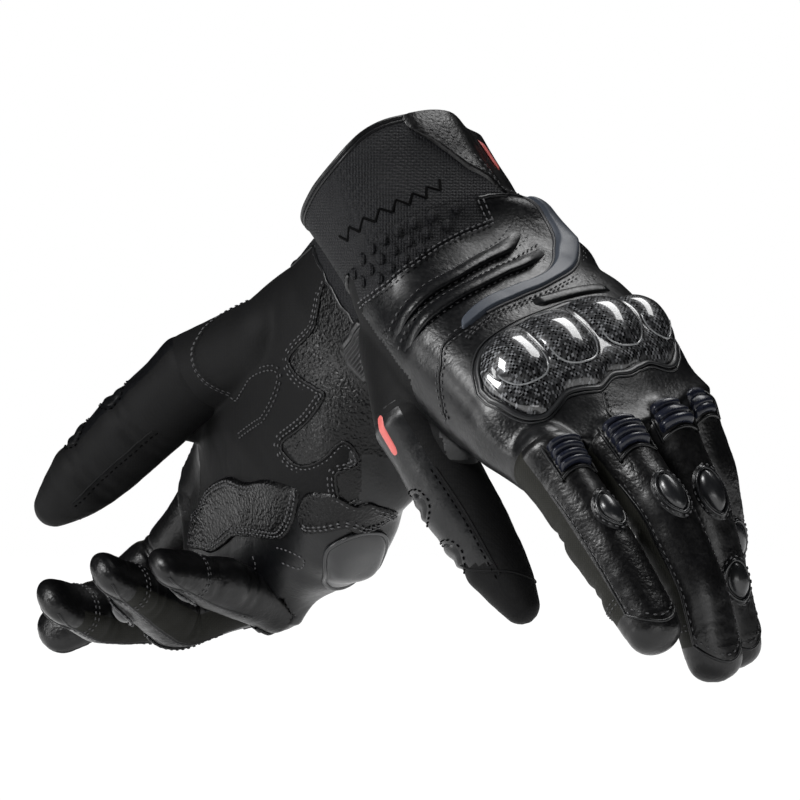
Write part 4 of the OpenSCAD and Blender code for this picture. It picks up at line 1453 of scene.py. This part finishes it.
def paint_palm(glove, obj):
    """Gives the thumb's side of the palm the soft cloth, and where leather is sewn on, the palm leather,
    whose darker colour is painted shade.
    """
    find = locator(lambda u, v: glove.seat("hand", u, v)[0], steps(-16, 104, 150), steps(170, 400, 150))
    back = glove.matrix.inverted()
    overlay = [*PALM_LEATHER, *OVERLAY_ENDS]
    for face in obj.data.polygons:
        p = back @ face.center
        if p.y > 92 or (p.y > 12 and (p.z > 0 or (p.z > -8 and p.x < 30))):
            continue
        u, v, far = find(p)
        if far > 5:
            face.material_index = int(p.x > 0 and p.y > 12)
        # The sewn-on overlay takes the palm leather, darkened as painted shade.
        elif inside((u, v), overlay):
            face.material_index = 2
        else:
            face.material_index = int(v > table(u, SOFT_EDGE) and u < 96 - 0.6 * max(0, v - 280))


def weave_map(glove, obj):
    """Lays the weave along the glove's own x and y, in mm."""
    back = glove.matrix.inverted()
    layer = obj.data.uv_layers.new(name="weave")
    for loop in obj.data.loops:
        layer.data[loop.index].uv = (back @ obj.data.vertices[loop.vertex_index].co).xy


WEAVE_SCALE = 1.4
WEAVE_SHIFT = 0.36


def carbon(name):
    """Woven squares under a clear coat."""
    m = Finish(name)
    where = m.node("ShaderNodeUVMap", uv_map="weave")
    middle = m.node("ShaderNodeMapping", [("Vector", where), ("Location", (WEAVE_SHIFT, WEAVE_SHIFT, 0))])
    squares = m.node("ShaderNodeTexChecker", [("Vector", where), ("Scale", WEAVE_SCALE)], output=1)
    chips = m.node("ShaderNodeTexVoronoi",
                   [("Vector", middle), ("Scale", WEAVE_SCALE), ("Randomness", 0.0)], output=1,
                   distance="CHEBYCHEV", voronoi_dimensions="2D")
    level = m.node("ShaderNodeSeparateColor", [("Color", chips)]) * 0.62 + squares * 0.38
    m.feed(Base_Color=m.tint(level ** 3.5, (0.0015, 0.0015, 0.002), (0.17, 0.175, 0.185)),
           Roughness=m.range(level, 0.2, 0.5), Metallic=0.3, Coat_Weight=1.0, Coat_Roughness=0.03)
    return m.bump(level, 0.12, 0.4).material


def colour(name, description, default):
    return bpy.props.FloatVectorProperty(name=name, description=description, subtype="COLOR", default=default)


class GloveLook(bpy.types.PropertyGroup):
    """What a user may change on the gloves."""
    wall: bpy.props.FloatProperty(name="Wall", description="Thickness of the hide in mm", default=1.5)
    wrinkles: bpy.props.FloatProperty(name="Wrinkles", description="Depth of the leather's unevenness in mm",
                                      default=0.55)
    leather: colour("Leather", "Colour of the smooth leather", (0.0020, 0.0022, 0.0027))
    grained: colour("Grained leather", "Colour of the palm leather", (0.0019, 0.0019, 0.0022))
    fabric: colour("Fabric", "Colour of the stretch fabric", (0.0026, 0.0028, 0.0038))
    suede: colour("Suede", "Colour of the thumb's soft cloth", (0.0028, 0.0028, 0.0030))
    gusset: colour("Gussets", "Colour of the sides of the fingers", (0.0085, 0.0085, 0.0066))
    ribs: colour("Ribs", "Colour of the stretch folds", (0.007, 0.0085, 0.016))
    rubber: colour("Rubber", "Colour of the moulded inserts", (0.030, 0.037, 0.050))
    accent: colour("Accent", "Colour of the accent tabs", (0.50, 0.10, 0.09))
    key_power: bpy.props.FloatProperty(name="Key light", description="Power of the key light in W",
                                       default=15.8)


FINISHES = {}


def finishes(look):
    """The materials, made once."""
    if not FINISHES:
        FINISHES.update(
            leather=leather("smooth_leather", look.leather, 0.34, 0.09, 0.12, 0.3),
            grained=leather("grained_leather", look.grained, 0.34, 0.14, 0.20, 0.3),
            # The palm's grainier leather, at 0.7 of the grained leather's colour: painted shade for the palm,
            # which is turned from the lamps.
            palm=leather("palm_leather", tone(look.grained, 0.7), 0.29, 0.40, 0.50, 0.6, 0.22),
            fabric=cloth("stretch_cloth", look.fabric, 0.95, 0.6, 0.22),
            suede=cloth("soft_cloth", look.suede, 0.5, 0.06, 0.12),
            gusset=cloth("gusset_cloth", look.gusset, 0.6, 0.05, 0.15),
            ribs=leather("rib_leather", look.ribs, 0.30, 0.02, 0.08),
            rubber=moulded("moulded_rubber", look.rubber, 0.45),
            rubber_dark=moulded("dark_rubber", (0.006, 0.006, 0.0066), 0.38),
            bezel=moulded("frame_rubber", (0.006, 0.0065, 0.0075), 0.38),
            plastic=moulded("hard_plastic", (0.007, 0.0075, 0.0085), 0.30, 0.15),
            # Light grey gloss for the tubes on the guard's lobes: a painted highlight.
            rim=moulded("painted_highlight_rim", (0.16, 0.165, 0.17), 0.18, 0.6),
            thread=moulded("thread", (0.030, 0.030, 0.032), 0.45),
            light_thread=moulded("light_thread", (0.055, 0.055, 0.058), 0.4),
            dark_thread=cloth("dark_thread", (0.0005, 0.0005, 0.0006), 0.5, 0.02, 0.03),
            accent=moulded("accent_tape", look.accent, 0.5),
            carbon=carbon("woven_carbon"),
        )
    return FINISHES


class GLOVES_OT_hides(bpy.types.Operator):
    """Builds the soft hides: hands, stalls and cuffs"""
    bl_idname = "gloves.hides"
    bl_label = "Build the hides"

    def execute(self, context):
        look = context.scene.glove_look
        made = finishes(look)
        for glove in GLOVES.values():
            hand_hide(glove, look, made["leather"], made["suede"], made["palm"])
            for f in FINGERS:
                stall(glove, f, look, made["grained"], made["gusset"], "leather", f"{f}_stall")
            stall(glove, "thumb", look, made["suede"], made["leather"], "stretch_fabric", "thumb_stall")
            cuff(glove, look, made["fabric"])
        return {"FINISHED"}


class GLOVES_OT_armour(bpy.types.Operator):
    """Builds the knuckle guards, stretch folds and sliders"""
    bl_idname = "gloves.armour"
    bl_label = "Build the armour"

    def execute(self, context):
        made = finishes(context.scene.glove_look)
        for glove in GLOVES.values():
            guard(glove, made)
            for f in FINGERS:
                ribbed_pad(glove, f, made)
                finger_armour(glove, f, made)
                finger_seams(glove, f, made)
        return {"FINISHED"}


class GLOVES_OT_wrist(bpy.types.Operator):
    """Builds the trim of the wrists and cuffs"""
    bl_idname = "gloves.wrist"
    bl_label = "Build the wrist trim"

    def execute(self, context):
        made = finishes(context.scene.glove_look)
        for glove in GLOVES.values():
            for build in (wrist_ridges, back_seams, wrist_insert, mesh_panel, cuff_trim, accent, strap):
                build(glove, made)
        return {"FINISHED"}


class GLOVES_OT_palm(bpy.types.Operator):
    """Builds the trim of the palms and thumbs"""
    bl_idname = "gloves.palm"
    bl_label = "Build the palm trim"

    def execute(self, context):
        made = finishes(context.scene.glove_look)
        for glove in GLOVES.values():
            palm_trim(glove, made)
            thumb_trim(glove, made)
        return {"FINISHED"}


CAMERA_LENS = 576
CAMERA_DISTANCE = 4.095
CAMERA_TARGET = (0.0047, 0.0, 0.0858)
CAMERA_RISE = 0.56
# Lights: name, place, size, share of the key light's power
LIGHTS = (
    ("key", (-0.75, -0.6, 0.95), (0.4, 0.4), 1.0),
    ("top", (0.4, 0.3, 1.1), (0.9, 0.3), 0.45),
    ("front", (0.6, -1.4, 0.10), (0.8, 0.2), 0.18),
    ("left", (-1.1, -0.3, 0.3), (0.25, 0.6), 0.3),
)
LIGHT_TARGET = (0, 0, 0.09)
WORLD_FILL = 0.005


def area_light(name, place, target, size, power):
    data = bpy.data.lights.new(name, "AREA")
    data.shape = "RECTANGLE"
    data.size, data.size_y = size
    data.energy = power
    obj = bpy.data.objects.new(name, data)
    obj.location = place
    obj.rotation_euler = (Vector(target) - Vector(place)).to_track_quat("-Z", "Y").to_euler()
    bpy.context.scene.collection.objects.link(obj)
    return obj


def backdrop_world():
    """White to the camera, and a dim fill to all other rays."""
    world = bpy.data.worlds.new("studio")
    bpy.context.scene.world = world
    world.use_nodes = True
    tree = world.node_tree
    shader = tree.nodes["Background"]
    seen = tree.nodes.new("ShaderNodeLightPath")
    level = tree.nodes.new("ShaderNodeMapRange")
    level.inputs["To Min"].default_value = WORLD_FILL
    level.inputs["To Max"].default_value = 1.0
    tree.links.new(seen.outputs["Is Camera Ray"], level.inputs["Value"])
    shader.inputs["Color"].default_value = (1, 1, 1, 1)
    tree.links.new(level.outputs[0], shader.inputs["Strength"])


FLOOR_CLEAR = 0.30
FLOOR_GLOW = 0.52


def floor_material():
    """A pale floor that looks white to the camera but for a soft shadow near the gloves."""
    m = Finish("floor")
    m.feed(Base_Color=(0.92, 0.92, 0.92, 1), Roughness=0.9, Specular_IOR_Level=0.0,
           Emission_Color=(1, 1, 1, 1), Emission_Strength=FLOOR_GLOW)
    seen = m.node("ShaderNodeLightPath", output="Is Camera Ray")
    here = m.node("ShaderNodeTexCoord", output="Object")
    far = m.node("ShaderNodeVectorMath", [(0, here)], output="Value", operation="LENGTH")
    share = m.range(far, 0.88, 1.0, FLOOR_CLEAR * 0.4, FLOOR_CLEAR)
    light = m.node("ShaderNodeEmission", [("Color", (1, 1, 1, 1)), ("Strength", 1.06)])
    plain = Socket(m.tree, m.shader.outputs[0])
    both = m.node("ShaderNodeMixShader", [(0, seen * share), (1, plain), (2, light)])
    m.tree.links.new(both.socket, m.tree.nodes["Material Output"].inputs["Surface"])
    return m.material


class GLOVES_OT_stage(bpy.types.Operator):
    """Sets up the floor, the studio light and the camera"""
    bl_idname = "gloves.stage"
    bl_label = "Set the stage"

    def execute(self, context):
        scene = context.scene
        look = scene.glove_look
        rise = math.radians(CAMERA_RISE)
        data = bpy.data.cameras.new("camera")
        data.lens = CAMERA_LENS
        data.sensor_width = 36
        data.clip_end = 50
        camera = bpy.data.objects.new("camera", data)
        target = Vector(CAMERA_TARGET)
        camera.location = target + Vector((0, -math.cos(rise), math.sin(rise))) * CAMERA_DISTANCE
        camera.rotation_euler = (target - camera.location).to_track_quat("-Z", "Y").to_euler()
        scene.collection.objects.link(camera)
        scene.camera = camera
        for name, place, size, share in LIGHTS:
            area_light(name, place, LIGHT_TARGET, size, look.key_power * share)
        bm = bmesh.new()
        bmesh.ops.create_grid(bm, x_segments=1, y_segments=1, size=1.6)
        floor = show(bm, "floor", floor_material())
        floor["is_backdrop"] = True
        backdrop_world()
        scene.view_settings.view_transform = "Standard"
        return {"FINISHED"}


class GLOVES_PT_panel(bpy.types.Panel):
    """The gloves' settings and build steps in the sidebar"""
    bl_label = "Riding gloves"
    bl_space_type = "VIEW_3D"
    bl_region_type = "UI"
    bl_category = "Gloves"

    def draw(self, context):
        look = context.scene.glove_look
        for key in GloveLook.__annotations__:
            self.layout.prop(look, key)
        for step in OPERATORS:
            self.layout.operator(step.bl_idname)


OPERATORS = (GLOVES_OT_hides, GLOVES_OT_armour, GLOVES_OT_wrist, GLOVES_OT_palm, GLOVES_OT_stage)
CLASSES = (GloveLook, *OPERATORS, GLOVES_PT_panel)


def register():
    for cls in CLASSES:
        bpy.utils.register_class(cls)
    bpy.types.Scene.glove_look = bpy.props.PointerProperty(type=GloveLook)


def unregister():
    del bpy.types.Scene.glove_look
    for cls in reversed(CLASSES):
        bpy.utils.unregister_class(cls)


def main():
    register()
    bpy.ops.gloves.hides()
    bpy.ops.gloves.armour()
    bpy.ops.gloves.wrist()
    bpy.ops.gloves.palm()
    bpy.ops.gloves.stage()
    boxes = {"cad": CAD_BOX, "visual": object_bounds()}
    {key: [list(corner) for corner in box] for key, box in boxes.items()}


if __name__ == "__main__":
    main()
